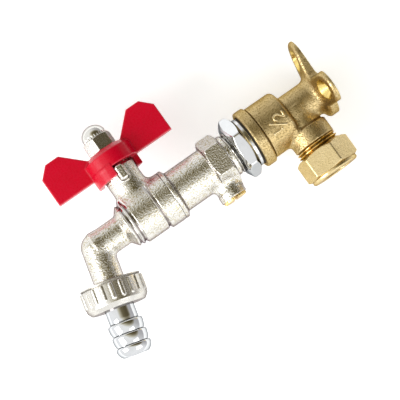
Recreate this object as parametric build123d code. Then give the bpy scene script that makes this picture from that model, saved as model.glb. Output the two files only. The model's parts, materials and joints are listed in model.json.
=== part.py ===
from build123d import *
import math
import os

# Garden tap with a quarter-turn ball valve and a butterfly handle, an inlet tail that holds two
# check valves, a brass wall-plate elbow and a hose connector. Lengths are in millimetres.
# The origin is the centre of the wall plate's back face. The wall is on the +X side, the barrel
# lies along X, the stem points up along +Z, and the spout end is the most negative X.

# Pipe threads, drawn as plain rings of the thread's depth
thread_pitch = 1.814
half_inch_major = 20.955 / 2
half_inch_minor = 18.631 / 2
three_quarter_major = 26.441 / 2
three_quarter_minor = 24.117 / 2
thread_clearance = 0.06

# Clearances between pieces
seat_gap = 0.03
running_gap = 0.06
free_gap = 0.3

# Wall plate
plate_thickness = 3.2
plate_centre_radius = 12.4
plate_edge_round = 1.1
screw_circle_radius = 19.2
screw_hole_radius = 2.4
screw_sink_radius = 4.7
screw_sink_depth = 1.6
lug_radius = 7.8
lug_angles = (97, 187, 7)

# Elbow behind the socket
elbow_radius = 8.8
flare_length = 3.4
flare_radius = 11.0
elbow_bore = 6.5
branch_from_wall = 17.9

# Socket that takes the tap's inlet thread
socket_radius = 13.4
socket_back = 21.0
socket_round = 3.2
mouth_from_wall = 40.8
rim_radius = 14.65
rim_length = 3.8
rim_round = 0.8
rim_groove_depth = 0.7
rim_groove_width = 1.1
socket_thread_depth = 14.0

# Compression branch for 15 mm tube
tube_radius = 7.5
tube_fit = 0.08
tube_stop = 14.0
branch_pipe_radius = 8.6
branch_bore = 6.2
branch_radius = 10.3
branch_collar_start = 9.6
branch_collar_slope = 1.2
branch_thread_start = 17.9
branch_end = 30.0
branch_cone_radius = 8.7
branch_cone_depth = 2.2

# Compression nut and its olive
nut_flats = 24.0
nut_start = 22.0
nut_hex_length = 10.8
nut_collar_radius = 12.2
nut_collar_length = 1.9
nut_turn = 17.0
nut_floor = 2.4
nut_cone_depth = 1.5
olive_radius = 8.3
olive_gap = 0.35
olive_edge = 0.1

# Sealing washer and back nut on the inlet thread
washer_thickness = 1.8
washer_radius = half_inch_major + 1.72
back_nut_flats = 27.2
back_nut_length = 8.6
back_nut_collar_length = 1.6
back_nut_collar_radius = half_inch_major + 1.92
back_nut_face_radius = half_inch_major + 1.82
back_nut_turn = 14.0

# Inlet tail
tail_insertion = 13.0
tail_thread_run = 12.9
neck_length = 1.8
neck_radius = 10.3
hex_flats = 23.6
hex_length = 9.0
hex_chamfer = 1.0
tail_radius = 10.4
tail_tube_length = 19.0
tail_cone_length = 1.2
tail_flange_radius = 12.5
tail_flange_length = 1.8
spigot_thread_radius = 10.5
spigot_thread_depth = 0.8
spigot_bore = 4.8
seal_groove_width = 1.5
seal_groove_depth = 1.1
tail_bore = 7.9
tail_bore_step = 0.3

# Check valves, one each side of the drain
cage_length = 12.0
cage_gap = 0.05
cage_wall = 1.45
cage_lip = 2.0
cage_opening = 4.4
cage_groove_width = 1.0
cage_groove_depth = 0.8
cage_ring_radius = 0.37
front_cage_from_bore_end = 0.1
spider_thickness = 2.0
spider_hub_radius = 2.5
spider_arm_width = 1.7
poppet_radius = 5.5
poppet_thickness = 1.35
poppet_boss_radius = 3.2
poppet_stem_radius = 1.2
poppet_stem_reach = 0.6
check_seal_thickness = 0.8
check_seal_radius = 5.35
check_spring_radius = 2.0
check_spring_wire = 0.25
check_spring_turns = 4.5
clip_thickness = 1.0
clip_width = 1.3
clip_depth = 0.4
clip_opening = 60.0

# Drain boss and its plug
drain_from_hex = 1.5
drain_boss_radius = 6.15
drain_boss_end = 16.3
drain_thread_radius = 4.0
drain_thread_depth = 0.5
drain_shank_length = 4.2
drain_port_radius = 1.5
drain_head_radius = 5.8
drain_head_length = 2.3
drain_notches = 30
drain_notch_radius = 0.32
drain_slot_width = 1.2
drain_slot_depth = 1.0
drain_seal_radius = 0.55

# Valve body
stem_from_wall = 99.7
collar_radius = 12.5
collar_length = 7.3
chamber_radius = 11.7
chamber_length = 11.2
groove_width = 1.8
groove_depth = 1.0
front_collar_radius = 10.7
front_collar_length = 1.6
front_groove_width = 2.3
front_groove_depth = 1.3
front_cone_length = 2.8
body_joint_depth = 6.4

# Ball, seats and stem
ball_radius = 7.8
ball_bore = 4.8
ball_slot_width = 3.2
ball_slot_floor = 5.6
seat_reach = 6.8
seat_start = 3.5
seat_radius = 8.0
seat_bore = 5.1
stem_radius = 4.0
stem_shoulder_radius = 5.5
stem_shoulder_base = 8.9
stem_shoulder_height = 1.6
stem_washer_thickness = 0.8
stem_flats = 2.9
stem_top = 43.6
stem_ring_radius = 0.6
stem_groove_radius = 2.8
stem_groove_width = 1.7

# Neck under the handle, with the stop lug
neck_outer_radius = 8.4
neck_height = 26.0
stem_ring_heights = (neck_height - 10.0, neck_height - 6.0)
lug_reach = 12.0
lug_base = 17.2
lug_height = 24.6
lug_start_angle = -97.5
lug_end_angle = -78.5
stop_gap_angle = 0.9

# Spout and its outlet thread
spout_radius = 7.25
spout_bore = 5.0
corner_from_wall = 128.0
outlet_lean = 14.3
outlet_head_start = 16.0
outlet_cone = 1.6
outlet_thread_end = 22.6

# Union nut, washer and hose tail, measured down the outlet from the spout's corner
union_start = 16.7
union_length = 12.5
union_radius = three_quarter_major + 1.88
union_top_radius = union_radius - 1.2
union_top_chamfer = 1.2
union_bottom_radius = union_radius - 2.1
union_bottom_chamfer = 2.0
union_ribs = 20
union_rib_start = 1.6
union_rib_length = 6.6
union_rib_width = 1.9
union_rib_depth = 0.55
hose_washer_thickness = 1.8
flange_thickness = 2.0
hose_neck_radius = 6.9
hose_bore = 4.8
barb_first = 35.8
barb_spacing = 5.4
barb_count = 3
barb_radius = 8.3
barb_root = 6.8
hose_end = 51.8
hose_tip_radius = 5.8
hose_tip_round = 0.7

# Butterfly handle
hub_radius = 12.0
hub_base = 25.3
hub_shoulder = 32.4
hub_top_radius = 8.7
hub_top = 34.7
hub_round = 0.8
skirt_base = 20.6
skirt_radius = 12.3
skirt_inner_radius = 9.4
skirt_tab_angle = 100.0
second_tab_angle = 70.0
closing_angle = 90.0
wing_reach = 31.2
wing_side_top = 39.4
wing_top = 44.6
wing_corner = 5.2
wing_flat = 7.1
wing_thickness = 4.6
wing_edge_round = 0.6
wing_base = 25.2

# Nut and dome cap on the handle
handle_nut_flats = 13.0
handle_nut_height = 7.0
dome_radius = 5.9
dome_height = 6.4
dome_wall = 0.9
dome_skirt = 1.2
dome_notches = 24
dome_notch_radius = 0.22


def turned(profile, rounds=()):
    """Solid of revolution about X from (along, radius) corners, some of them rounded."""
    face = make_face(Polyline(*profile, close=True))
    for corner, radius in rounds:
        place = Vector(*profile[corner])
        vertex = face.vertices().sort_by_distance(place)[0]
        face = fillet(vertex, radius)
    return revolve(face, Axis.X)


def rod(radius, start, end):
    """Round bar along X."""
    return turned([(start, 0), (end, 0), (end, radius), (start, radius)])


def tube(outer, inner, start, end):
    """Round tube along X."""
    return turned([(start, inner), (end, inner), (end, outer), (start, outer)])


def upright(shape):
    """Stand a shape that lies along X on the stem axis, pointing up."""
    return Pos(-stem_from_wall, 0, 0) * Rot(0, -90, 0) * shape


def hanging(shape, from_wall):
    """Turn a shape that lies along X to point straight down at a distance from the wall."""
    return Pos(-from_wall, 0, 0) * Rot(0, 90, 0) * shape


def on_outlet(shape):
    """Turn a shape that lies along X to point down the leaning outlet from the spout's corner."""
    return Pos(-corner_from_wall, 0, 0) * Rot(0, 90 + outlet_lean, 0) * shape


def thread_profile(start, end, major, minor):
    """Crests and roots of a ringed thread between two places, from start to end."""
    count = int(abs(end - start) / thread_pitch)
    step = math.copysign(thread_pitch, end - start)
    points = []
    for ring in range(count):
        root = start + ring * step
        points.append((root + 0.06 * step, minor))
        points.append((root + 0.44 * step, major))
        points.append((root + 0.56 * step, major))
        points.append((root + 0.94 * step, minor))
    points.append((end, minor))
    return points


def hexagon(flats, start, end, face_radius, chamfer_length, turn=0.0):
    """Hexagonal bar along X, its corners turned down to a radius at both faces."""
    corner = flats / math.sqrt(3)
    plane = Plane(origin=(start, 0, 0), x_dir=(0, 1, 0), z_dir=(1, 0, 0))
    bar = extrude(plane * RegularPolygon(corner, 6, rotation=30 + turn), end - start)
    envelope = turned([
        (start, 0),
        (end, 0),
        (end, face_radius),
        (end - chamfer_length, corner),
        (start + chamfer_length, corner),
        (start, face_radius),
    ])
    return bar & envelope


def ring_seal(ring_radius, wire_radius, along):
    """Round seal on the X axis."""
    ring = Pos(along, 0, 0) * Rot(0, 90, 0) * Torus(ring_radius, wire_radius)
    return ring


def sector(radius, start, end, first_angle, last_angle):
    """Wedge about the X axis, with angles from +Y towards +Z."""
    middle = (first_angle + last_angle) / 2
    half = (last_angle - first_angle) / 2
    reach = radius / math.cos(math.radians(half / 2))
    points = [(0, 0)]
    for share in (-1, -0.5, 0, 0.5, 1):
        angle = math.radians(middle + share * half)
        points.append((reach * math.cos(angle), reach * math.sin(angle)))
    plane = Plane(origin=(start, 0, 0), x_dir=(0, 1, 0), z_dir=(1, 0, 0))
    return extrude(plane * make_face(Polyline(*points, close=True)), end - start)


# Places along the barrel, all worked out from the wall outwards
mouth = -mouth_from_wall
washer_front = mouth - seat_gap - washer_thickness
back_nut_rear = washer_front - seat_gap
back_nut_front = back_nut_rear - back_nut_length
tail_rear = mouth + tail_insertion
neck_rear = mouth - tail_thread_run
hex_rear = neck_rear - neck_length
hex_front = hex_rear - hex_length
tube_front = hex_front - tail_tube_length
cone_front = tube_front - tail_cone_length
seam = cone_front - tail_flange_length
stem_axis = -stem_from_wall
chamber_rear = seam - collar_length - groove_width
chamber_front = chamber_rear - chamber_length
front_collar_rear = chamber_front - front_groove_width
front_collar_front = front_collar_rear - front_collar_length
spout_start = front_collar_front - front_cone_length
seat_back_rear = stem_axis + seat_reach
seat_back_front = stem_axis - seat_reach
spigot_front = seat_back_rear + seat_gap
drain_axis = -(hex_front + drain_from_hex)
bore_front = tube_front + front_cage_from_bore_end
rear_bore_front = hex_rear - 0.6
hub_recess_top = neck_height + running_gap


def make_wall_plate_elbow():
    # Plate with three lugs, drawn on the wall's plane
    outline = Circle(plate_centre_radius)
    for angle in lug_angles:
        arm = Pos(screw_circle_radius / 2, 0) * Rectangle(screw_circle_radius, 2 * lug_radius)
        end = Pos(screw_circle_radius, 0) * Circle(lug_radius)
        outline += Rot(0, 0, angle) * (arm + end)
    wall_plane = Plane(origin=(0, 0, 0), x_dir=(0, 1, 0), z_dir=(1, 0, 0))
    plate = extrude(wall_plane * outline, -plate_thickness)
    front_face = plate.faces().sort_by(Axis.X)[0]
    plate = fillet(front_face.edges(), plate_edge_round)

    # Elbow, socket and rim, turned about the barrel
    rim_back = mouth + rim_length
    groove_back = rim_back + rim_groove_width
    barrel = turned(
        [
            (-plate_thickness / 2, 0),
            (-plate_thickness / 2, flare_radius),
            (-plate_thickness, flare_radius),
            (-plate_thickness - flare_length, elbow_radius),
            (-socket_back, elbow_radius),
            (-socket_back, socket_radius),
            (groove_back, socket_radius),
            (rim_back + rim_groove_width / 2, socket_radius - rim_groove_depth),
            (rim_back, rim_radius),
            (mouth, rim_radius),
            (mouth, 0),
        ],
        rounds=((3, 2.0), (5, socket_round), (8, rim_round), (9, rim_round)),
    )
    branch = hanging(
        turned(
            [
                (0, 0),
                (0, branch_pipe_radius),
                (branch_collar_start, branch_pipe_radius),
                (branch_collar_start + branch_collar_slope, branch_radius),
                (branch_thread_start, branch_radius),
            ]
            + thread_profile(branch_thread_start, branch_end, half_inch_major, half_inch_minor)
            + [(branch_end, 0)]
        ),
        branch_from_wall,
    )
    elbow = plate + barrel + branch

    # Waterway
    socket_floor = mouth + socket_thread_depth
    elbow -= rod(half_inch_major + thread_clearance, mouth - 1, socket_floor)
    elbow -= rod(elbow_bore, socket_floor - 1, -branch_from_wall + elbow_bore)
    elbow -= hanging(rod(branch_bore, 0, tube_stop + 1), branch_from_wall)
    elbow -= hanging(rod(tube_radius + tube_fit, tube_stop, branch_end + 1), branch_from_wall)
    elbow -= hanging(
        turned([
            (branch_end - branch_cone_depth, 0),
            (branch_end - branch_cone_depth, tube_radius + tube_fit),
            (branch_end, branch_cone_radius),
            (branch_end + 1, branch_cone_radius),
            (branch_end + 1, 0),
        ]),
        branch_from_wall,
    )
    for angle in lug_angles:
        hole = turned([
            (1, 0),
            (1, screw_hole_radius),
            (-plate_thickness + screw_sink_depth, screw_hole_radius),
            (-plate_thickness, screw_sink_radius),
            (-plate_thickness - 1, screw_sink_radius),
            (-plate_thickness - 1, 0),
        ])
        turn = math.radians(angle)
        across = screw_circle_radius * math.cos(turn)
        above = screw_circle_radius * math.sin(turn)
        elbow -= Pos(0, across, above) * hole
    return elbow


def make_compression_nut():
    hex_end = nut_start + nut_hex_length
    nut_end = hex_end + nut_collar_length
    shape = hexagon(nut_flats, nut_start, hex_end, nut_flats / 2, 1.0, nut_turn)
    collar_tip = nut_collar_radius - 0.9
    shape += turned([
        (nut_start + 1, 0),
        (nut_start + 1, nut_flats / 2 - 0.1),
        (hex_end, nut_collar_radius - 0.2),
        (nut_end - 0.6, nut_collar_radius - 0.2),
        (nut_end, collar_tip),
        (nut_end, 0),
    ])
    floor = nut_end - nut_floor
    shape -= rod(half_inch_major + thread_clearance, nut_start - 1, floor)
    shape -= rod(tube_radius + tube_fit, floor - 1, nut_end + 1)
    cone_radius = olive_radius + running_gap
    shape -= turned([
        (floor - 0.1, 0),
        (floor - 0.1, cone_radius),
        (floor, cone_radius),
        (floor + nut_cone_depth, tube_radius + tube_fit),
        (floor + nut_cone_depth, 0),
    ])
    return hanging(shape, branch_from_wall)


def make_compression_olive():
    floor = nut_start + nut_hex_length + nut_collar_length - nut_floor
    inner = tube_radius + tube_fit
    upper = branch_end - branch_cone_depth + olive_gap
    lower = floor + nut_cone_depth - olive_gap
    shape = turned([
        (upper, inner),
        (lower, inner),
        (lower, inner + olive_edge),
        (floor - olive_gap, olive_radius),
        (branch_end, olive_radius),
        (upper, inner + olive_edge),
    ])
    return hanging(shape, branch_from_wall)


def make_sealing_washer():
    inner = half_inch_major + free_gap
    return tube(washer_radius, inner, washer_front, mouth - seat_gap)


def make_back_nut():
    collar_front = back_nut_rear - back_nut_collar_length
    shape = hexagon(
        back_nut_flats,
        back_nut_front,
        collar_front,
        back_nut_face_radius,
        2.1,
        back_nut_turn,
    )
    shape += tube(back_nut_collar_radius, half_inch_major, collar_front - 1, back_nut_rear)
    shape -= rod(half_inch_major + thread_clearance, back_nut_front - 1, back_nut_rear + 1)
    return shape


def make_inlet_tail():
    groove_radius = spigot_thread_radius - seal_groove_depth
    groove_front = seam - seal_groove_width
    spigot = [(spigot_front, 0)]
    spigot += [(spigot_front, spigot_thread_radius - spigot_thread_depth)]
    spigot += thread_profile(
        spigot_front, groove_front, spigot_thread_radius, spigot_thread_radius - spigot_thread_depth
    )[:-1]
    spigot += [
        (groove_front, spigot_thread_radius - spigot_thread_depth),
        (groove_front, groove_radius),
        (seam, groove_radius),
        (seam, tail_flange_radius),
        (cone_front, tail_flange_radius),
        (tube_front, tail_radius),
        (hex_front + hex_length / 2, tail_radius),
        (hex_front + hex_length / 2, neck_radius),
        (neck_rear, neck_radius),
    ]
    rear = thread_profile(neck_rear, tail_rear, half_inch_major, half_inch_minor)
    shape = turned(spigot + rear + [(tail_rear, 0)])
    shape += hexagon(hex_flats, hex_front, hex_rear, hex_flats / 2, hex_chamfer)
    shape += hanging(rod(drain_boss_radius, 0, drain_boss_end), drain_axis)
    # Waterway, stepped for the two check valves and grooved for their clips
    shape -= rod(spigot_bore, spigot_front - 1, bore_front + 1)
    shape -= rod(tail_bore, bore_front, rear_bore_front + 1)
    shape -= rod(tail_bore + tail_bore_step, rear_bore_front, tail_rear + 1)
    for clip_front, bore in clip_places():
        shape -= rod(bore + clip_depth, clip_front, clip_front + clip_thickness + 2 * seat_gap)
    shape -= hanging(rod(drain_port_radius, 0, drain_boss_end), drain_axis)
    thread_bore = drain_thread_radius + running_gap
    shape -= hanging(
        rod(thread_bore, drain_boss_end - drain_shank_length - 0.3, drain_boss_end + 1),
        drain_axis,
    )
    return shape


def cages():
    """Front end and bore radius of each check valve, in flow order from the tap's side."""
    return (
        (bore_front + seat_gap, tail_bore),
        (rear_bore_front + seat_gap, tail_bore + tail_bore_step),
    )


def clip_places():
    """Front end of each clip groove and the bore that it is cut in."""
    return [(front + cage_length + seat_gap, bore) for front, bore in cages()]


def make_check_cage(front, bore):
    outer = bore - cage_gap
    rear = front + cage_length
    lip_front = rear - cage_lip
    shape = tube(outer, outer - cage_wall, front, rear)
    shape += tube(outer, cage_opening, lip_front, rear)
    groove_middle = rear - cage_lip / 2
    shape -= tube(
        outer + 1,
        outer - cage_groove_depth,
        groove_middle - cage_groove_width / 2,
        groove_middle + cage_groove_width / 2,
    )
    shape += rod(spider_hub_radius, front, front + spider_thickness)
    for arm in range(3):
        length = outer - cage_wall / 2
        beam = Pos(front + spider_thickness / 2, length / 2, 0) * Box(
            spider_thickness, length, spider_arm_width
        )
        shape += Rot(120 * arm, 0, 0) * beam
    shape -= rod(poppet_stem_radius + running_gap, front - 1, front + spider_thickness + 1)
    return shape


def make_check_ring(front, bore):
    ring_radius = bore - cage_gap - cage_groove_depth + cage_ring_radius + 0.02
    return ring_seal(ring_radius, cage_ring_radius, front + cage_length - cage_lip / 2)


def make_check_seal(front):
    face = front + cage_length - cage_lip - seat_gap
    inner = poppet_boss_radius + 0.05
    return tube(check_seal_radius, inner, face - check_seal_thickness, face)


def make_check_poppet(front):
    face = front + cage_length - cage_lip - seat_gap
    disc_rear = face - check_seal_thickness
    disc_front = disc_rear - poppet_thickness
    return turned([
        (face, 0),
        (face, poppet_boss_radius),
        (disc_rear, poppet_boss_radius),
        (disc_rear, poppet_radius),
        (disc_front, poppet_radius),
        (disc_front, poppet_stem_radius),
        (front - poppet_stem_reach, poppet_stem_radius),
        (front - poppet_stem_reach, 0),
    ])


def make_check_spring(front):
    low = front + spider_thickness + check_spring_wire + 0.05
    disc_front = front + cage_length - cage_lip - seat_gap - check_seal_thickness - poppet_thickness
    height = disc_front - check_spring_wire - 0.05 - low
    path = Helix(height / check_spring_turns, height, check_spring_radius)
    start = Plane(origin=path @ 0, z_dir=path % 0)
    coil = sweep(start * Circle(check_spring_wire), path=path)
    return Pos(low, 0, 0) * Rot(0, 90, 0) * coil


def make_clips():
    clips = []
    for clip_front, bore in clip_places():
        outer = bore + clip_depth - 0.05
        start = clip_front + seat_gap
        ring = tube(outer, outer - clip_width, start, start + clip_thickness)
        half = clip_opening / 2
        ring -= sector(outer + 1, start - 1, start + clip_thickness + 1, 90 - half, 90 + half)
        clips.append(ring)
    return clips


def make_drain_plug():
    top = drain_boss_end - drain_shank_length
    under_head = drain_boss_end + seat_gap
    head_end = under_head + drain_head_length
    root = drain_thread_radius - drain_thread_depth
    shape = turned([
        (top, 0),
        (top, drain_thread_radius),
        (under_head - 2 * drain_seal_radius - 0.1, drain_thread_radius),
        (under_head - 2 * drain_seal_radius - 0.1, root),
        (under_head, root),
        (under_head, drain_head_radius),
        (head_end - 0.4, drain_head_radius),
        (head_end, drain_head_radius - 0.5),
        (head_end, 0),
    ])
    for notch in range(drain_notches):
        cut = Pos(0, drain_head_radius, 0) * rod(drain_notch_radius, under_head - 1, head_end + 1)
        shape -= Rot(notch * 360 / drain_notches, 0, 0) * cut
    slot = Pos(head_end, 0, 0) * Box(2 * drain_slot_depth, 4 * drain_head_radius, drain_slot_width)
    shape -= slot
    return hanging(shape, drain_axis)


def make_drain_seal():
    wire = (drain_thread_depth + running_gap) / 2 - 0.02
    ring_radius = drain_thread_radius - drain_thread_depth + wire + 0.02
    place = drain_boss_end - drain_seal_radius
    return hanging(ring_seal(ring_radius, wire, place), drain_axis)


def make_valve_body():
    barrel = turned(
        [
            (seam - seat_gap, 0),
            (seam - seat_gap, collar_radius),
            (seam - collar_length, collar_radius),
            (seam - collar_length - groove_width / 2, chamber_radius - groove_depth),
            (chamber_rear, chamber_radius),
            (chamber_front, chamber_radius),
            (chamber_front - front_groove_width / 2, front_collar_radius - front_groove_depth),
            (front_collar_rear, front_collar_radius),
            (front_collar_front, front_collar_radius),
            (spout_start, spout_radius),
            (-corner_from_wall, spout_radius),
            (-corner_from_wall, 0),
        ],
        rounds=((2, 0.5), (4, 0.4), (5, 0.6), (7, 0.4), (8, 0.5), (9, 1.0)),
    )
    # Spout: a round corner and a leg that leans away from the wall
    corner = Pos(-corner_from_wall, 0, 0) * Sphere(spout_radius)
    head_top = outlet_head_start + outlet_cone
    leg = on_outlet(
        turned(
            [(0, 0), (0, spout_radius), (outlet_head_start, spout_radius)]
            + [(head_top, three_quarter_minor)]
            + thread_profile(head_top, outlet_thread_end, three_quarter_major, three_quarter_minor)
            + [(outlet_thread_end, 0)]
        )
    )
    # Neck with its stop lug
    neck = upright(
        turned(
            [(0, 0), (0, neck_outer_radius), (neck_height, neck_outer_radius), (neck_height, 0)],
            rounds=((2, 0.6),),
        )
    )
    stop = upright_sector(
        lug_reach, neck_outer_radius - 1, lug_base, lug_height, lug_start_angle, lug_end_angle
    )
    body = barrel + corner + leg + neck + stop
    body -= valve_body_waterway()
    return body


def upright_sector(outer, inner, low, high, first_angle, last_angle):
    """Part of a ring about the stem, with angles from +X towards +Y seen from above."""
    ring = Pos(-stem_from_wall, 0, low) * extrude(Circle(outer) - Circle(inner), high - low)
    middle = (first_angle + last_angle) / 2
    half = (last_angle - first_angle) / 2
    reach = 2 * outer
    points = [(0, 0)]
    for share in (-1, -0.5, 0, 0.5, 1):
        angle = math.radians(middle + share * half)
        points.append((reach * math.cos(angle), reach * math.sin(angle)))
    wedge = extrude(make_face(Polyline(*points, close=True)), high - low)
    return ring & (Pos(-stem_from_wall, 0, low) * wedge)


def valve_body_waterway():
    """Everything that is hollow in the valve body."""
    joint_front = seam - body_joint_depth
    hollow = rod(spigot_thread_radius + thread_clearance, joint_front, seam + 1)
    hollow += rod(seat_radius + cage_gap, seat_back_front - seat_gap, joint_front + 1)
    hollow += rod(spout_bore, -corner_from_wall, seat_back_front + 1)
    hollow += Pos(-corner_from_wall, 0, 0) * Sphere(spout_bore)
    hollow += on_outlet(rod(spout_bore, 0, outlet_thread_end + 1))
    shoulder_room = stem_shoulder_base + stem_shoulder_height + stem_washer_thickness + 3 * seat_gap
    hollow += upright(rod(stem_shoulder_radius + running_gap, 0, shoulder_room))
    hollow += upright(rod(stem_radius + running_gap, 0, neck_height + 1))
    return hollow


def make_body_joint_seal():
    wire = (seal_groove_depth + thread_clearance) / 2 - 0.03
    ring_radius = spigot_thread_radius - seal_groove_depth + wire + 0.03
    return ring_seal(ring_radius, wire, seam - seal_groove_width / 2)


def make_ball():
    half_length = math.sqrt(ball_radius ** 2 - ball_bore ** 2)
    bore = Line((-half_length, ball_bore), (half_length, ball_bore))
    outside = ThreePointArc((half_length, ball_bore), (0, ball_radius), (-half_length, ball_bore))
    ball = Pos(-stem_from_wall, 0, 0) * revolve(make_face(Wire([bore, outside])), Axis.X)
    slot = Pos(-stem_from_wall, 0, ball_slot_floor + ball_radius / 2) * Box(
        ball_slot_width, 4 * ball_radius, ball_radius
    )
    return ball - slot


def make_ball_seat(side):
    """Seat ring on one side of the ball: +1 is the inlet's side and -1 the spout's."""
    cup = ball_radius + running_gap
    lip = math.sqrt(cup ** 2 - seat_bore ** 2)
    start_radius = math.sqrt(cup ** 2 - seat_start ** 2)
    middle = (lip + seat_start) / 2
    middle_radius = math.sqrt(cup ** 2 - middle ** 2)
    straight = Polyline(
        (side * lip, seat_bore),
        (side * seat_reach, seat_bore),
        (side * seat_reach, seat_radius),
        (side * seat_start, seat_radius),
        (side * seat_start, start_radius),
    )
    hollow = ThreePointArc(
        (side * seat_start, start_radius), (side * middle, middle_radius), (side * lip, seat_bore)
    )
    ring = revolve(make_face(Wire(straight.edges() + [hollow])), Axis.X)
    return Pos(-stem_from_wall, 0, 0) * ring


def make_stem():
    shoulder_top = stem_shoulder_base + stem_shoulder_height
    # The tongue turns between the seats, and widens above them
    tongue_reach = seat_start - free_gap / 2
    tongue_shoulder = seat_radius + free_gap / 2
    profile = [
        (ball_slot_floor + 0.2, 0),
        (ball_slot_floor + 0.2, tongue_reach),
        (tongue_shoulder, tongue_reach),
        (tongue_shoulder, stem_shoulder_radius - 0.4),
        (stem_shoulder_base, stem_shoulder_radius - 0.4),
        (stem_shoulder_base, stem_shoulder_radius),
        (shoulder_top, stem_shoulder_radius),
        (shoulder_top, stem_radius),
    ]
    for height in stem_ring_heights:
        profile += [
            (height - stem_groove_width / 2, stem_radius),
            (height - stem_groove_width / 2, stem_groove_radius),
            (height + stem_groove_width / 2, stem_groove_radius),
            (height + stem_groove_width / 2, stem_radius),
        ]
    profile += [(stem_top - 0.8, stem_radius), (stem_top, stem_radius - 0.8), (stem_top, 0)]
    stem = upright(turned(profile))
    # Tongue that fits the ball's slot, and flats that drive it from the handle
    for side in (1, -1):
        tongue_cut = Pos(
            -stem_from_wall + side * (ball_slot_width / 2 - running_gap + stem_radius), 0, 0
        )
        stem -= tongue_cut * Box(2 * stem_radius, 4 * stem_radius, 2 * stem_shoulder_base)
        flat_cut = Pos(-stem_from_wall, side * (stem_flats + stem_radius), 0)
        flat_height = hub_top - neck_height
        flat_cut = flat_cut * Pos(0, 0, neck_height + flat_height / 2)
        stem -= flat_cut * Box(4 * stem_radius, 2 * stem_radius, flat_height)
    return stem


def make_stem_thrust_washer():
    low = stem_shoulder_base + stem_shoulder_height + seat_gap
    return upright(tube(stem_shoulder_radius, stem_radius + running_gap, low, low + stem_washer_thickness))


def make_stem_o_rings():
    rings = []
    for height in stem_ring_heights:
        ring_radius = stem_groove_radius + stem_ring_radius + 0.03
        rings.append(upright(ring_seal(ring_radius, stem_ring_radius, height)))
    return rings


def make_handle():
    centre = -stem_from_wall
    hub = upright(
        turned(
            [
                (hub_base, 0),
                (hub_base, hub_radius),
                (hub_shoulder, hub_radius),
                (hub_top, hub_top_radius),
                (hub_top, 0),
            ],
            rounds=((2, hub_round), (3, hub_round / 2)),
        )
    )
    inner_foot = hub_top_radius
    handle = hub
    for side in (1, -1):
        outline = [
            (0, wing_base),
            (wing_reach, wing_base),
            (wing_reach, wing_side_top),
            (wing_reach - wing_corner, wing_top),
            (wing_reach - wing_corner - wing_flat, wing_top),
            (inner_foot, hub_top),
            (0, hub_top),
        ]
        points = [(centre + side * x, z) for x, z in outline]
        plane = Plane(origin=(0, wing_thickness / 2, 0), x_dir=(1, 0, 0), z_dir=(0, -1, 0))
        wing = extrude(plane * make_face(Polyline(*points, close=True)), wing_thickness)
        rim = wing.edges().filter_by(lambda edge: abs(edge.center().X - centre) > hub_radius)
        wing = fillet(rim, wing_edge_round)
        handle += wing
    # Two tabs under the hub strike the neck's lug at the ends of the quarter turn
    first_edge = lug_start_angle - stop_gap_angle
    second_edge = lug_end_angle + stop_gap_angle + closing_angle
    handle += upright_sector(
        skirt_radius, skirt_inner_radius, skirt_base, hub_base + 1,
        first_edge - skirt_tab_angle, first_edge,
    )
    handle += upright_sector(
        skirt_radius, skirt_inner_radius, skirt_base, hub_base + 1,
        second_edge, second_edge + second_tab_angle,
    )
    handle -= upright(rod(neck_outer_radius + free_gap, wing_base - 1, hub_recess_top))
    drive = upright(rod(stem_radius + running_gap, hub_base, hub_top + 1))
    drive &= Pos(centre, 0, hub_top) * Box(
        4 * stem_radius, 2 * (stem_flats + running_gap), 4 * stem_radius + hub_top
    )
    return handle - drive


def make_handle_nut():
    low = hub_top + seat_gap
    high = low + handle_nut_height
    shape = hexagon(handle_nut_flats, low, high, handle_nut_flats / 2, 0.7)
    shape -= rod(stem_radius + running_gap, low - 1, high + 1)
    return upright(shape)


def crown_arc(base, radius, rise):
    """Arc of a sphere about the X axis, from its widest ring up to its top."""
    sphere_radius = (radius ** 2 + rise ** 2) / (2 * rise)
    centre = base + rise - sphere_radius
    half_angle = math.atan2(radius, base - centre) / 2
    middle = (
        centre + sphere_radius * math.cos(half_angle),
        sphere_radius * math.sin(half_angle),
    )
    return ThreePointArc((base, radius), middle, (base + rise, 0))


def make_nut_dome_cap():
    low = hub_top + seat_gap + handle_nut_height + seat_gap
    skirt_top = low + dome_skirt
    inner_radius = dome_radius - dome_wall
    rise = dome_height - dome_skirt
    inner_rise = rise - dome_wall
    skirt = Polyline(
        (skirt_top, inner_radius), (low, inner_radius), (low, dome_radius), (skirt_top, dome_radius)
    )
    outside = crown_arc(skirt_top, dome_radius, rise)
    top = Line((skirt_top + rise, 0), (skirt_top + inner_rise, 0))
    inside = crown_arc(skirt_top, inner_radius, inner_rise)
    shape = revolve(make_face(Wire(skirt.edges() + [outside, top, inside])), Axis.X)
    for notch in range(dome_notches):
        cut = Pos(0, dome_radius, 0) * rod(dome_notch_radius, low - 1, low + dome_skirt)
        shape -= Rot(notch * 360 / dome_notches, 0, 0) * cut
    return upright(shape)


def make_hose_washer():
    low = outlet_thread_end + seat_gap
    return on_outlet(tube(three_quarter_major - 0.2, spout_bore, low, low + hose_washer_thickness))


def flange_start():
    """Top face of the hose tail's flange, down the outlet."""
    return outlet_thread_end + hose_washer_thickness + 2 * seat_gap


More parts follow.
